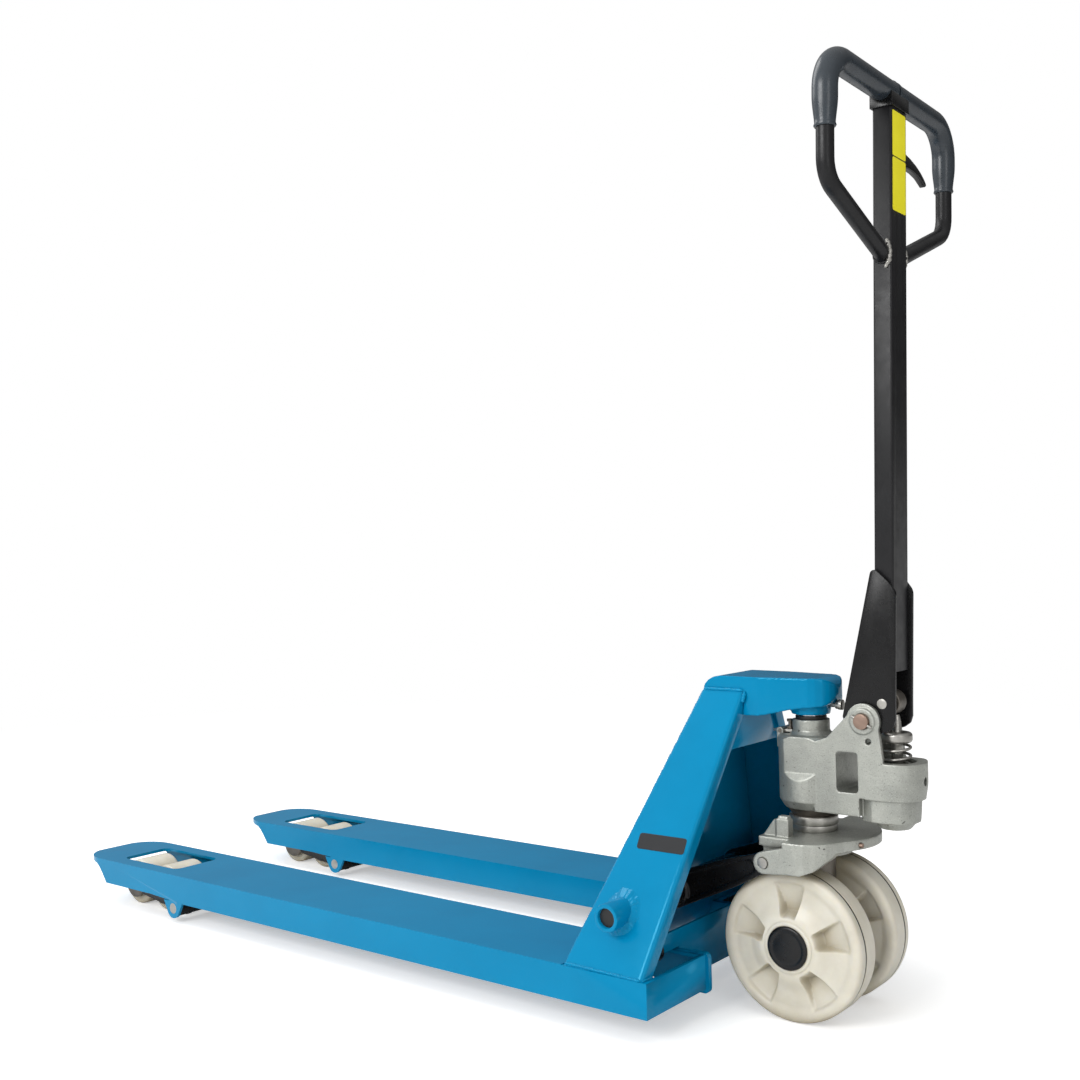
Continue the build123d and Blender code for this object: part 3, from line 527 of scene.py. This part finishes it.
def bead(points, radius, seed, pitch=0.0042):
    """Lumpy weld bead: radius in mm, pitch of the ripples in metres."""
    step = 0.0011
    path = resample(points, step)
    last = len(path) - 1
    radii, centres = [], []
    for i, centre in enumerate(path):
        along = i * step
        lump = noise_at(along * 190 + seed * 7.3, seed, 0.5)
        swell = 1 + 0.13 * sin(2 * pi * along / pitch + 1.6 * lump) + 0.22 * lump
        taper = min(1.0, (min(i, last - i) + 0.35) / 4.0)
        radii.append(radius / 1000 * swell * math.sqrt(taper))
        drift = Vector([noise_at(along * 120, seed, layer) for layer in (3, 6, 9)])
        centres.append(centre + drift * radius / 1000 * 0.18)
    return tube(centres, radii, 12)


def cast_piece(node, name, material, body, voxel, passes, amplitude=0.00010, scale=140.0,
               warp=None):
    """Cast version of a CAD node: even skin (voxel in mm), soft edges, slight unevenness."""
    work = add_object("tmp_" + node, nodes[node].data.copy())
    modify(work, "weld", "WELD", merge_threshold=2e-6)
    modify(work, "remesh", "REMESH", mode="VOXEL", voxel_size=voxel / 1000, adaptivity=0)
    modify(work, "smooth", "SMOOTH", factor=0.5, iterations=passes)
    mesh = evaluated_mesh(work)
    bpy.data.objects.remove(work)
    places = np.zeros(len(mesh.vertices) * 3, np.float32)
    normals = np.zeros(len(mesh.vertices) * 3, np.float32)
    mesh.vertices.foreach_get("co", places)
    mesh.vertex_normals.foreach_get("vector", normals)
    places, normals = places.reshape(-1, 3), normals.reshape(-1, 3)
    lift = np.array([noise.noise(Vector(place) * scale)
                     + noise.noise(Vector(place) * scale * 3.1) * 0.45
                     for place in places.tolist()])
    places = places + normals * (lift * amplitude)[:, None].astype(np.float32)
    mesh.vertices.foreach_set("co", places.astype(np.float32).ravel())
    mesh.update()
    if warp:
        for vertex in mesh.vertices:
            vertex.co = warp(vertex.co)
        mesh.update()
    mesh.name = name
    obj = add_object(name, mesh)
    shade(mesh)
    register(obj, material, body, [node])


# ------------------------------------------------------------- steering wheels
def wheel_relief(radius, angle, phase):
    """Height in mm of the moulded face over the rim: dish, hub and five scooped pockets."""
    height = ease(90.0, 78.0, radius) * -2.8 + ease(62, 37, radius) * 8.2
    turns = (angle - phase) / POCKET_PITCH
    off_middle = (turns - round(turns)) * POCKET_PITCH
    half_angle = 0.262 - 0.010 * (84 - radius) / 48
    outside = abs(off_middle) * radius - half_angle * radius
    wall = ease(1.0, -3.4, outside)
    inner = ease(37.5, 46.5, radius)
    outer = ease(87.0, 82.0, radius)
    depth = 14.0 * max(0.0, 1 - max(0.0, radius - 43) / 44) ** 0.85
    return height - wall * inner * outer * (depth + max(0.0, height + 2.6) * 0.9)


# radius, y beyond the outer face: from the bore over the cap seat to the hub shoulder
CAP_SEAT = [(12.6, 2.0), (26.9, 2.0), (27.4, 2.3), (27.6, 6.4), (28.2, 7.1), (31.0, 7.4),
            (33.0, 7.0)]
# radius, depth below the face: rounded edge of the tread
RIM_EDGE = [(89, 0), (92, 0.0), (94.5, 0.25), (96.6, 1.0), (98.3, 2.4), (99.4, 4.3),
            (99.9, 6.6), (100, 9)]
# radius, y: tread with the groove that holds the seam
TREAD = [(100.0, 65.2), (99.5, 64.8), (98.4, 64.6), (98.4, 61.4), (99.5, 61.2), (100.0, 60.8),
         (100.0, 50), (100.0, 40)]
# radius, y beyond the inner face: back to the bore
INNER_HUB = [(30.0, 0.9), (18.0, 0.9), (12.6, 0.6)]
FACE_RADII = [34.2 + i * 1.2 for i in range(44)]
# radius, y
TREAD_SEAM = [(97.0, 61.5), (99.3, 61.5), (99.7, 61.9), (99.7, 64.1), (99.3, 64.5), (97.0, 64.5)]
HUB_CAP = [(AXIS_RADIUS, 89.0), (8, 88.95), (15, 88.7), (19.5, 88.25), (21.5, 88.3),
           (23.2, 88.75), (25.0, 89.0), (26.8, 88.7), (28.1, 87.9), (28.7, 86.9), (28.7, 86.5),
           (27.2, 86.1), (27.0, 82.0), (25.0, 81.6), (AXIS_RADIUS, 81.6)]


def wheel_moulding(side, phase):
    angles = turn_angles(WHEEL_SEGMENTS)

    def ring(radius, heights):
        return [point(radius * cos(a), side * y, WHEEL_RADIUS + radius * sin(a))
                for a, y in zip(angles, heights)]

    def plain_rings(profile):
        return [ring(radius, [y] * WHEEL_SEGMENTS) for radius, y in profile]

    def relief(radius, limit):
        return [min(limit, wheel_relief(radius, a, phase)) for a in angles]

    rows = plain_rings((radius, WHEEL_OUTER_Y + out) for radius, out in CAP_SEAT)
    rows += [ring(radius, [WHEEL_OUTER_Y + rise for rise in relief(radius, 7.0)])
             for radius in FACE_RADII]
    rows += plain_rings((radius, WHEEL_OUTER_Y - depth) for radius, depth in RIM_EDGE)
    rows += plain_rings(TREAD)
    rows += plain_rings((radius, WHEEL_INNER_Y + depth) for radius, depth in reversed(RIM_EDGE))
    rows += [ring(radius, [WHEEL_INNER_Y - rise for rise in relief(radius, 0.9)])
             for radius in reversed(FACE_RADII)]
    rows += plain_rings((radius, WHEEL_INNER_Y - out) for radius, out in INNER_HUB)
    return skin(rows, closed=True)


POCKET_PHASE = {"left": radians(18), "right": radians(150)}
for side, label in SIDES:
    body = "wheel_" + label
    new_piece("wheel_moulding_" + label, wheel_moulding(side, POCKET_PHASE[label]), "nylon",
              body, ["steer_wheel_" + label], smooth=50)
    new_piece("tread_seam_" + label, lathe(TREAD_SEAM, WHEEL_CENTRE, 160, True, side), "seal",
              body, smooth=40)
    new_piece("hub_cap_dome_" + label, lathe(HUB_CAP, WHEEL_CENTRE, 96, side=side),
              "black_plastic", body, ["hub_cap_" + label], smooth=42)

# ---------------------------------------------------------------- load rollers
# radius, y from mid-width: one half, from the bore over the end face to the tread
ROLLER_HALF = [(10.1, 33.0), (14.5, 33.0), (15.2, 32.4), (15.4, 30.6), (16.5, 30.2),
               (22.0, 30.2), (23.4, 30.8), (24.0, 32.2), (25.0, 32.9), (35.0, 33.0),
               (37.2, 32.6), (38.9, 31.3), (39.8, 29.4), (40.0, 27.0), (40.0, 10.0),
               (39.96, 0.6), (39.9, 0.0)]
ROLLER_PROFILE = ROLLER_HALF + [(radius, -y) for radius, y in reversed(ROLLER_HALF[:-1])]
for side, label in SIDES:
    for step, end in ((-1, "rear"), (1, "front")):
        profile = [(radius, side * FORK_Y + y) for radius, y in ROLLER_PROFILE]
        centre = (ROLLER_MID_X + step * ROLLER_HALF_PITCH, ROLLER_Z)
        new_piece("load_roller_%s_%s" % (end, label), lathe(profile, centre, 112, hollow=True),
                  "nylon", "roller_" + end[0] + label[0], ["roller_%s_%s" % (end, label)],
                  smooth=40)

# ------------------------------------------------------- castings, forks and head
# x, z: wedge taken out from under the fork tip
FORK_TIP_CUT = [(1288, 4), (1296.5, 41.5), (1309.5, 58.5), (1318, 68.0), (1326, 73.2),
                (1345, 75.6), (1366, 77.4), (1392, 79.4), (1400, 4)]


def fork_shell(node, name):
    source = nodes[node]
    across = [(source.matrix_world @ vertex.co).y for vertex in source.data.vertices]
    # the cutter stands 20 mm proud of both flanks
    ends = ((min(across) - 0.02) * 1000, (max(across) + 0.02) * 1000)
    verts, faces = skin([[point(x, y, z) for x, z in FORK_TIP_CUT] for y in ends])
    cutter_mesh = bpy.data.meshes.new("cut")
    cutter_mesh.from_pydata(verts, [], faces)
    recalc_normals(cutter_mesh)
    cutter = add_object("cut", cutter_mesh)
    work = add_object("tmp_" + node, source.data.copy())
    work.matrix_world = source.matrix_world
    modify(work, "weld", "WELD", merge_threshold=2e-6)
    modify(work, "cut", "BOOLEAN", operation="DIFFERENCE", object=cutter, solver="EXACT")
    mesh = evaluated_mesh(work)
    mesh.transform(work.matrix_world)
    bpy.data.objects.remove(work)
    bpy.data.objects.remove(cutter)
    # if the boolean leaves next to nothing, the CAD fork stays as it is
    if len(mesh.polygons) < 60:
        return
    mesh.name = name
    obj = add_object(name, mesh)
    dress(obj, "blue_paint", "frame", [node], 30)
    bevel(obj, 1.3, 3)


def cup_form(place):
    """Shape the cup behind the pump: round in plan, drawn in towards its foot."""
    x, y, z = place.x * 1000 + AXIS_OFFSET, place.y * 1000, place.z * 1000
    if x > -108 or z > 347 or z < 250:
        return place
    out = x - PLUNGER_X
    radius = math.hypot(out, y)
    if radius < 9.2:
        # running room for the plunger in its guide
        if z <= 266.5:
            return Vector((place.x, place.y, place.z - 0.0018)) if z > 260 else place
        ratio = max(radius, 8.3) / max(radius, 0.5)
        return point(PLUNGER_X + out * ratio, y * ratio, z)
    if radius < 26.5:
        return place
    if z >= 322:
        limit = 41.5
    elif z >= 296:
        limit = 36.0 + 5.5 * ease(292, 322, z)
    elif z >= 268:
        limit = 30.0 + 4.5 * (z - 268) / 28
    else:
        limit = 27.0 + 3.0 * (z - 250) / 18
    # beyond the knee the radius closes in on the limit
    knee = limit - 5.0
    if radius <= knee:
        return place
    drawn = knee + 5.0 * (1 - math.exp(-(radius - knee) / 5.0))
    drawn = radius + (drawn - radius) * ease(-108, -126, x)
    return point(PLUNGER_X + out * drawn / radius, y * drawn / radius, z)


cast_piece("rocker", "rocker_arms", "black_paint", "rocker", voxel=1.3, passes=4,
           amplitude=0.00003, scale=60)
for side, label in SIDES:
    fork_shell("fork_" + label, "fork_shell_" + label)
cast_piece("pump_body", "pump_casting", "silver_casting", "pump", voxel=1.0, passes=3,
           warp=cup_form)
cast_piece("thrust_plate", "cradle_casting", "silver_casting", "cradle", voxel=1.1, passes=3)
cast_piece("head_beam", "head_shell", "blue_paint", "frame", voxel=1.5, passes=5,
           amplitude=0.00004, scale=60)


# ------------------------------------------------------- handle loop and grips
def bent_path(corners, steps, spacing):
    """Path in the column's mid-plane from (y, z, bend radius) corners."""
    return resample([column_point(0, y, z) for y, z in round_corners(corners, steps)], spacing)


def hand_grip(side):
    path = bent_path([(side * 2.0, LOOP_TOP, 0), (side * LOOP_HALF_WIDTH, LOOP_TOP, LOOP_BEND),
                      (side * LOOP_HALF_WIDTH, 1127, 0)], 18, 0.003)
    lengths = [0.0]
    for start, end in zip(path[:-1], path[1:]):
        lengths.append(lengths[-1] + (end - start).length * 1000)
    radii = []
    for length in lengths:
        left = lengths[-1] - length
        radius = 15.6 + 0.9 * ease(9, 2, length)     # flared end at the saddle
        if left < 37:
            radius = 12.6 + 3.0 * ease(3, 37, left) ** 0.8
        if left < 3.2:
            radius = 13.7                            # lip at the lower end
        radius -= 1.2 * ease(1.6, 0.0, length) + 1.0 * ease(1.4, 0, left)
        radii.append(radius / 1000)
    return tube(path, radii, 96)


# y, z, bend radius
LOOP_CORNERS = [(21, 1003, 0), (LOOP_HALF_WIDTH, 1068, 34),
                (LOOP_HALF_WIDTH, LOOP_TOP, LOOP_BEND), (-LOOP_HALF_WIDTH, LOOP_TOP, LOOP_BEND),
                (-LOOP_HALF_WIDTH, 1068, 34), (-21, 1003, 0)]
new_piece("handle_loop_tube", tube(bent_path(LOOP_CORNERS, 16, 0.006), 0.011, 72),
          "column_paint", "handle", ["handle_loop"])
for side, label in SIDES:
    new_piece("hand_grip_" + label, hand_grip(side), "grip_rubber", "handle", ["grip_" + label],
              smooth=48)

# --------------------------------------------------------------- plunger spring
SPRING_TURNS = 6.0
SPRING_RADIUS = 17
SPRING_BOTTOM, SPRING_TOP = 293.2, 366.0
SPRING_STEPS = 420


def spring_rise(t):
    """Share of the height reached at t along the wire; the coils close up at the ends."""
    first, here, last = (ease(-0.12, 1.12, value) for value in (0, t, 1))
    return (0.035 * min(1, t / 0.15) + 0.93 * here + 0.035 * max(0, (t - 0.85) / 0.15)
            - 0.93 * first * (1 - t) + 0.93 * (1 - last) * t)


def spring_point(t):
    angle = 2 * pi * SPRING_TURNS * t
    return point(PLUNGER_X + SPRING_RADIUS * cos(angle), SPRING_RADIUS * sin(angle),
                 SPRING_BOTTOM + (SPRING_TOP - SPRING_BOTTOM) * spring_rise(t))


coil = [spring_point(i / SPRING_STEPS) for i in range(SPRING_STEPS + 1)]
spring = new_piece("return_spring", tube(coil, 0.0019, 14), "zinc_steel", "pump",
                   ["plunger_spring"], smooth=60)
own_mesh(spring)


# ---------------------------------------- side gussets, shaft sleeves and welds
def gusset_y(z):
    """Outer face of the leaning gusset."""
    return 259.5 - GUSSET_LEAN * (z - GUSSET_DATUM)


def gusset_front(z):
    return 237 - 0.2787 * (z - GUSSET_DATUM)


def gusset_plate(side):
    """Plate with its rear edge bent inwards."""
    rows = []
    for i in range(31):
        z = GUSSET_BOTTOM + (GUSSET_TOP - GUSSET_BOTTOM) * i / 30
        front, rear = gusset_front(z), 113 - 0.1066 * (z - GUSSET_DATUM)
        outer = gusset_y(z)
        inner = outer - GUSSET_THICKNESS / LEAN_COS
        lip = inner - 20
        # x, y, corner radius
        section = [(front, inner, 0.8), (front, outer, 2.4), (rear, outer, 7.0),
                   (rear, lip, 1.2), (rear + GUSSET_THICKNESS, lip, 1.2),
                   (rear + GUSSET_THICKNESS, inner, 2.5)]
        rows.append([point(x, side * y, z) for x, y in round_corners(section, 6)])
    return skin(rows)


# radius, y
SLEEVE = [(12.6, 201), (12.6, 253.6), (13.2, 254.6), (14.4, 255.0), (16.8, 255.0),
          (17.8, 254.6), (18.3, 253.4), (18.3, 201)]
SHAFT_END = [(AXIS_RADIUS, 249.0), (11.6, 249.0), (12.3, 249.6), (12.3, 250.2), (11.4, 250.5),
             (AXIS_RADIUS, 250.35)]


def sleeve_weld(side):
    """Uneven fillet from the gusset up to the sleeve, with its root inside the plate."""
    def on_plate(radius, rise, angle):
        z = SHAFT_Z + radius * sin(angle)
        return point(SHAFT_X + radius * cos(angle), side * (gusset_y(z) + rise), z)

    angles = turn_angles(180)
    rows = []
    for k in range(-2, 14):
        row = []
        for a in angles:
            broad = noise_at(cos(a) * 2.2, sin(a) * 2.2, side * 3.0)
            fine = noise_at(cos(a) * 7.5, sin(a) * 7.5, side * 5.0)
            spread = 10.0 + 2.6 * broad + 1.0 * fine
            height = 8.0 + 1.6 * broad + 1.1 * fine + 0.45 * sin(a * 21 + 2.2 * broad)
            if k < 0:
                radius, rise = 18.0 + spread * 0.6, -3.0 + (k + 1) * 1.2
            else:
                t = k / 13
                bulge = 0.20 * sin(pi * t)
                radius = 18.1 + spread * max(0.0, 1 - sin(t * pi / 2) + bulge * 0.9)
                rise = -0.7 + height * max(0.0, 1 - cos(t * pi / 2) + bulge * 1.1)
                lump = noise_at(cos(a) * 5.0, sin(a) * 5.0, k * 0.33 + side * 11)
                rise += 0.7 * lump * sin(pi * t)
            row.append(on_plate(radius, rise, a))
        rows.append(row)
    rows.append([on_plate(15.5, -GUSSET_THICKNESS, a) for a in angles])
    return skin(rows, closed=True)


# radius, seed, then points: x, height at which the gusset's y is taken, offset outwards, z
FRAME_BEADS = [
    # foot
    (2.1, 1, [(237, 84, -1, 84.2), (116, 84, 0.3, 82.8)]),
    # foot of the bent rear edge
    (2.2, 3, [(113, 83, -1, 82.8), (113.5, 83, -25, 82.8)]),
    # top edge and round its rear corner
    (2.0, 5, [(139, 431, 0.2, 431.5), (80, 431, 0.3, 431.5), (75.5, 431, -4, 430),
              (76, 424, -8, 424)]),
    # top of the rear edge
    (2.6, 8, [(74.6, 430, -1.5, 430), (76.0, 415, -6.0, 415)]),
    # front edge
    (1.7, 11, [(gusset_front(z) + 1.2, z, -6.6, z) for z in (86, 180, 280, 380, 429)]),
]
# x, y, z in the column's frame: upright bead at the foot of the handle loop
LOOP_BEAD = [(-4.0, 25.2, 985), (-9.5, 26.2, 994), (-11.4, 26.4, 1004), (-9.8, 26.2, 1014),
             (-6.0, 25.4, 1023)]


def frame_welds(side):
    return merge([bead([point(x, side * (gusset_y(level) + out), z)
                        for x, level, out, z in places], radius, seed + side)
                  for radius, seed, places in FRAME_BEADS])


def loop_ring(side):
    ring = []
    for j in range(41):
        angle = 2 * pi * j / 40
        ring.append(column_point(12.0 * cos(angle), side * LOOP_FOOT_Y,
                                 1004.6 + 12.2 * sin(angle)))
    return bead(ring, 1.5, 20 + side, pitch=0.005)


def loop_bead(side):
    return bead([column_point(x, side * y, z) for x, y, z in LOOP_BEAD], 2.9, 30 + side,
                pitch=0.0055)


SHAFT = (SHAFT_X, SHAFT_Z)
for side, label in SIDES:
    new_piece("side_gusset_" + label, gusset_plate(side), "blue_paint", "frame",
              ["gusset_" + label], smooth=32)
    new_piece("shaft_sleeve_" + label, lathe(SLEEVE, SHAFT, 72, True, side), "blue_paint",
              "frame", smooth=40)
    new_piece("shaft_end_" + label, lathe(SHAFT_END, SHAFT, 48, side=side), "seal", "frame",
              smooth=40)
    new_piece("sleeve_weld_" + label, sleeve_weld(side), "blue_paint", "frame", smooth=60)
    new_piece("frame_welds_" + label, frame_welds(side), "blue_paint", "frame", smooth=60)
    new_piece("loop_weld_" + label, loop_ring(side), "column_paint", "handle", smooth=60)
    new_piece("loop_weld_bead_" + label, loop_bead(side), "zinc_steel", "handle", smooth=60)


# -------------------------------------------------------- handle cheek plates
def inset(outline, distance):
    """Outline moved inwards along its own normals."""
    count = len(outline)
    area = sum(outline[i][0] * outline[(i + 1) % count][1]
               - outline[(i + 1) % count][0] * outline[i][1] for i in range(count))
    sign = 1 if area > 0 else -1
    moved = []
    for i in range(count):
        before, here, after = outline[i - 1], outline[i], outline[(i + 1) % count]
        into = Vector((here[0] - before[0], here[1] - before[1]))
        onward = Vector((after[0] - here[0], after[1] - here[1]))
        if into.length < 1e-9 or onward.length < 1e-9:
            moved.append((here[0], here[1]))
            continue
        into.normalize()
        onward.normalize()
        normal = Vector((-into.y - onward.y, into.x + onward.x)) * sign
        if normal.length < 1e-6:
            moved.append((here[0], here[1]))
            continue
        normal.normalize()
        stretch = 1 / max(0.5, normal.dot(Vector((-into.y, into.x)) * sign))
        moved.append((here[0] + normal.x * distance * stretch,
                      here[1] + normal.y * distance * stretch))
    return moved


def plate(outline, start, end, edge):
    """Plate in the XZ plane from y = start to y = end, with its edges rounded by edge."""
    inward = (end - start) / abs(end - start) * edge
    # inset, y
    stations = [(edge, start), (edge * 0.3, start + inward * 0.3), (0, start + inward),
                (0, end - inward), (edge * 0.3, end - inward * 0.3), (edge, end)]
    return skin([[point(x, y, z) for x, z in (inset(outline, depth) if depth else outline)]
                 for depth, y in stations])


# x, z, corner radius; the lower front corner is hollowed round (-92, 398)
CHEEK = [(-106, 600, 6), (-128, 580, 10), (-138, 566, 16), (-133.5, 424, 8), (-133, 400, 5),
         (-130, 391, 5), (-122, 385, 5), (-110, 381, 4), (-99, 378.6, 0)]
CHEEK = [*CHEEK, *((-92 + 20 * cos(radians(degrees)), 398 + 20 * sin(radians(degrees)), corner)
                   for degrees, corner in ((-90, 0), (-75, 0), (-60, 0), (-45, 0), (-32, 3))),
         (-60, 400, 5)]
cheek_outline = round_corners(CHEEK)
for side, label in SIDES:
    new_piece("cheek_plate_" + label, plate(cheek_outline, side * 25.02, side * 31.0, 1.0),
              "black_paint", "handle", ["handle_cheek_" + label], smooth=30)

# ------------------------------------------------------- CAD nodes with softened edges
# bevel width in mm: nodes
SOFTENED = {
    0.3: "lever_pin control_rod grease_nipple",
    0.35: "split_pin",
    0.4: "release_bolt trigger_pin wiper_ring pump_roller",
    0.5: "plunger bearing_ring_lower bearing_ring_upper clamp_screw release_lever",
    0.6: "handle_column pump_stem handle_pivot_pin pump_roller_pin bracket_axle_left "
         "bracket_axle_right steer_axle",
    0.7: "cradle_pin_left cradle_pin_right",
    0.8: "cross_web push_rod_left push_rod_right bracket_left bracket_right "
         "tandem_beam_left tandem_beam_right rocker_shaft",
    0.9: "bulkhead",
    1.0: "lower_cross_plate",
    1.2: "grip_saddle",
    1.8: "release_trigger",
}
for width, names in SOFTENED.items():
    for name in names.split():
        modify(nodes[name], "weld", "WELD", merge_threshold=1e-6)
        bevel(nodes[name], width, 3 if width >= 1 else 2)


# ------------------------------------------------------------- stickers, label
def card(name, material, body, replaces, centre, axes, width, height, corner, thickness):
    """Thin plate with rounded corners; axes are across, up and outward."""
    across, up, outward = axes
    corners = [(-width / 2, -height / 2, corner), (width / 2, -height / 2, corner),
               (width / 2, height / 2, corner), (-width / 2, height / 2, corner)]
    outline = round_corners(corners, 6)
    rows = []
    # scale of the outline, share of the thickness
    for scale, share in ((1.0, 0.0), (1.0, 0.6), (0.985, 0.92), (0.96, 1)):
        rows.append([centre + across * (x * scale / 1000) + up * (y * scale / 1000)
                     + outward * (thickness * share / 1000) for x, y in outline])
    new_piece(name, skin(rows), material, body, [replaces], smooth=40)


column_base = column_point(0, 0, 1000)
column_axes = (Vector((0, -1, 0)), (column_point(0, 0, 1100) - column_base).normalized(),
               (column_point(-1, 0, 1000) - column_base).normalized())
STICKER_X = -13.0 + 0.05          # on the rear face of the column
for level, z, height in (("upper", 1160.5, 58.8), ("lower", 1094.75, 69.2)):
    card("yellow_sticker_" + level, "sticker_yellow", "handle", "sticker_" + level,
         column_point(STICKER_X, 0, z), column_axes, width=42, height=height, corner=2.5,
         thickness=0.5)
LABEL_Z = 236
label_across = Vector((-1, 0, 0))
label_normal = Vector((0, LEAN_COS, sin(LEAN_ANGLE)))
card("plain_label", "label_black", "frame", "gusset_label",
     point(139, gusset_y(LABEL_Z) + 0.02, LABEL_Z),
     (label_across, label_normal.cross(label_across), label_normal),
     width=74, height=22, corner=4.0, thickness=0.6)


# ------------------------------------------------------- floor, lights, camera
def floor_material():
    """White floor that fades into the white background away from the truck."""
    mat = Surface("floor", coords=False)
    mat.set(Base_Color=(0.92, 0.92, 0.92, 1), Roughness=0.8, Specular_IOR_Level=0.0)
    geometry = mat.node("ShaderNodeNewGeometry")
    distance = mat.node("ShaderNodeVectorMath", operation="LENGTH")
    mat.link(geometry.outputs["Position"], distance.inputs[0])
    camera_ray = mat.node("ShaderNodeLightPath").outputs["Is Camera Ray"]
    far = mat.remap(distance.outputs["Value"], span=(1.0, 3.4), to=(0.0, 1.0))

    def glow(strength):
        added = mat.node("ShaderNodeEmission")
        added.inputs["Color"].default_value = (1, 1, 1, 1)
        mat.put(added.inputs["Strength"], strength)
        return added.outputs[0]

    background = glow(strength=1.0)
    # glow that only the camera sees
    lift = glow(strength=mat.multiply(camera_ray, 0.42))
    lit = mat.node("ShaderNodeAddShader")
    mat.link(mat.bsdf.outputs[0], lit.inputs[0])
    mat.link(lift, lit.inputs[1])
    blend = mat.node("ShaderNodeMixShader")
    mat.link(mat.multiply(far, camera_ray), blend.inputs[0])
    mat.link(lit.outputs[0], blend.inputs[1])
    mat.link(background, blend.inputs[2])
    mat.link(blend.outputs[0], mat.tree.nodes["Material Output"].inputs["Surface"])
    return mat.material


FLOOR_HALF = 60                   # metres
floor_surface = floor_material()
floor_mesh = bpy.data.meshes.new("floor")
floor_mesh.from_pydata([(x * FLOOR_HALF, y * FLOOR_HALF, 0)
                        for x, y in ((-1, -1), (1, -1), (1, 1), (-1, 1))], [], [(0, 1, 2, 3)])
floor_mesh.materials.append(floor_surface)
floor = add_object("floor", floor_mesh)


def build_world():
    """White to the camera; as a light it is brightest high on the left."""
    world = bpy.data.worlds.new("world")
    scene.world = world
    world.use_nodes = True
    sky = Nodes(world.node_tree)
    background = sky.tree.nodes["Background"]
    coords = sky.node("ShaderNodeTexCoord")
    facing = sky.node("ShaderNodeVectorMath", operation="DOT_PRODUCT")
    sky.link(coords.outputs["Generated"], facing.inputs[0])
    facing.inputs[1].default_value = Vector((0.10, 0.72, 0.68)).normalized()
    light = sky.remap(facing.outputs["Value"], span=(-0.6, 0.9), to=(0.05, 0.88))
    path = sky.node("ShaderNodeLightPath")
    strength = sky.node("ShaderNodeMix", data_type="FLOAT")
    sky.link(path.outputs["Is Camera Ray"], strength.inputs[0])
    sky.link(light, strength.inputs[2])
    strength.inputs[3].default_value = 1.0
    sky.link(strength.outputs[0], background.inputs["Strength"])
    background.inputs["Color"].default_value = (1, 1, 1, 1)


def area_light(name, location, target, size, power):
    """Rectangular light; places and sizes in metres, power in watts."""
    light = bpy.data.lights.new(name, "AREA")
    light.shape = "RECTANGLE"
    light.size, light.size_y = size
    light.energy = power
    obj = add_object(name, light)
    obj.location = location
    aim = Vector(target) - Vector(location)
    obj.rotation_euler = aim.to_track_quat("-Z", "Y").to_euler()


build_world()
area_light("key", location=(0.1, 3.4, 2.1), target=(-0.1, 0.0, 0.4), size=(1.9, 1.3), power=66)
area_light("top", location=(1.9, 0.3, 3.0), target=(0.1, 0.0, 0.2), size=(1.5, 2.6), power=40)
area_light("fill", location=(-3.0, 1.6, 1.3), target=(-0.6, 0.0, 0.6), size=(0.7, 2.0), power=9)

CAMERA_PLACE = point(-793.63, 1587.13, 623.38)
CAMERA_AZIMUTH, CAMERA_ELEVATION, CAMERA_ROLL = radians(218.45), radians(-0.71), radians(-1.37)
camera_data = bpy.data.cameras.new("camera")
camera = add_object("camera", camera_data)
camera_data.sensor_width = 36
camera_data.lens = 42.197
camera_data.clip_start, camera_data.clip_end = 0.05, 200
view = -Vector((sin(CAMERA_AZIMUTH) * cos(CAMERA_ELEVATION),
                -cos(CAMERA_AZIMUTH) * cos(CAMERA_ELEVATION), sin(CAMERA_ELEVATION)))
level_right = view.cross(Vector((0, 0, 1))).normalized()
level_up = level_right.cross(view)
right = level_right * cos(CAMERA_ROLL) + level_up * sin(CAMERA_ROLL)
upward = -level_right * sin(CAMERA_ROLL) + level_up * cos(CAMERA_ROLL)
rotation = Matrix((right, upward, -view)).transposed()
camera.matrix_world = Matrix.Translation(CAMERA_PLACE) @ rotation.to_4x4()
scene.camera = camera
scene.view_settings.view_transform = "Standard"
scene.view_settings.look = "None"
scene.view_settings.exposure = 0.0
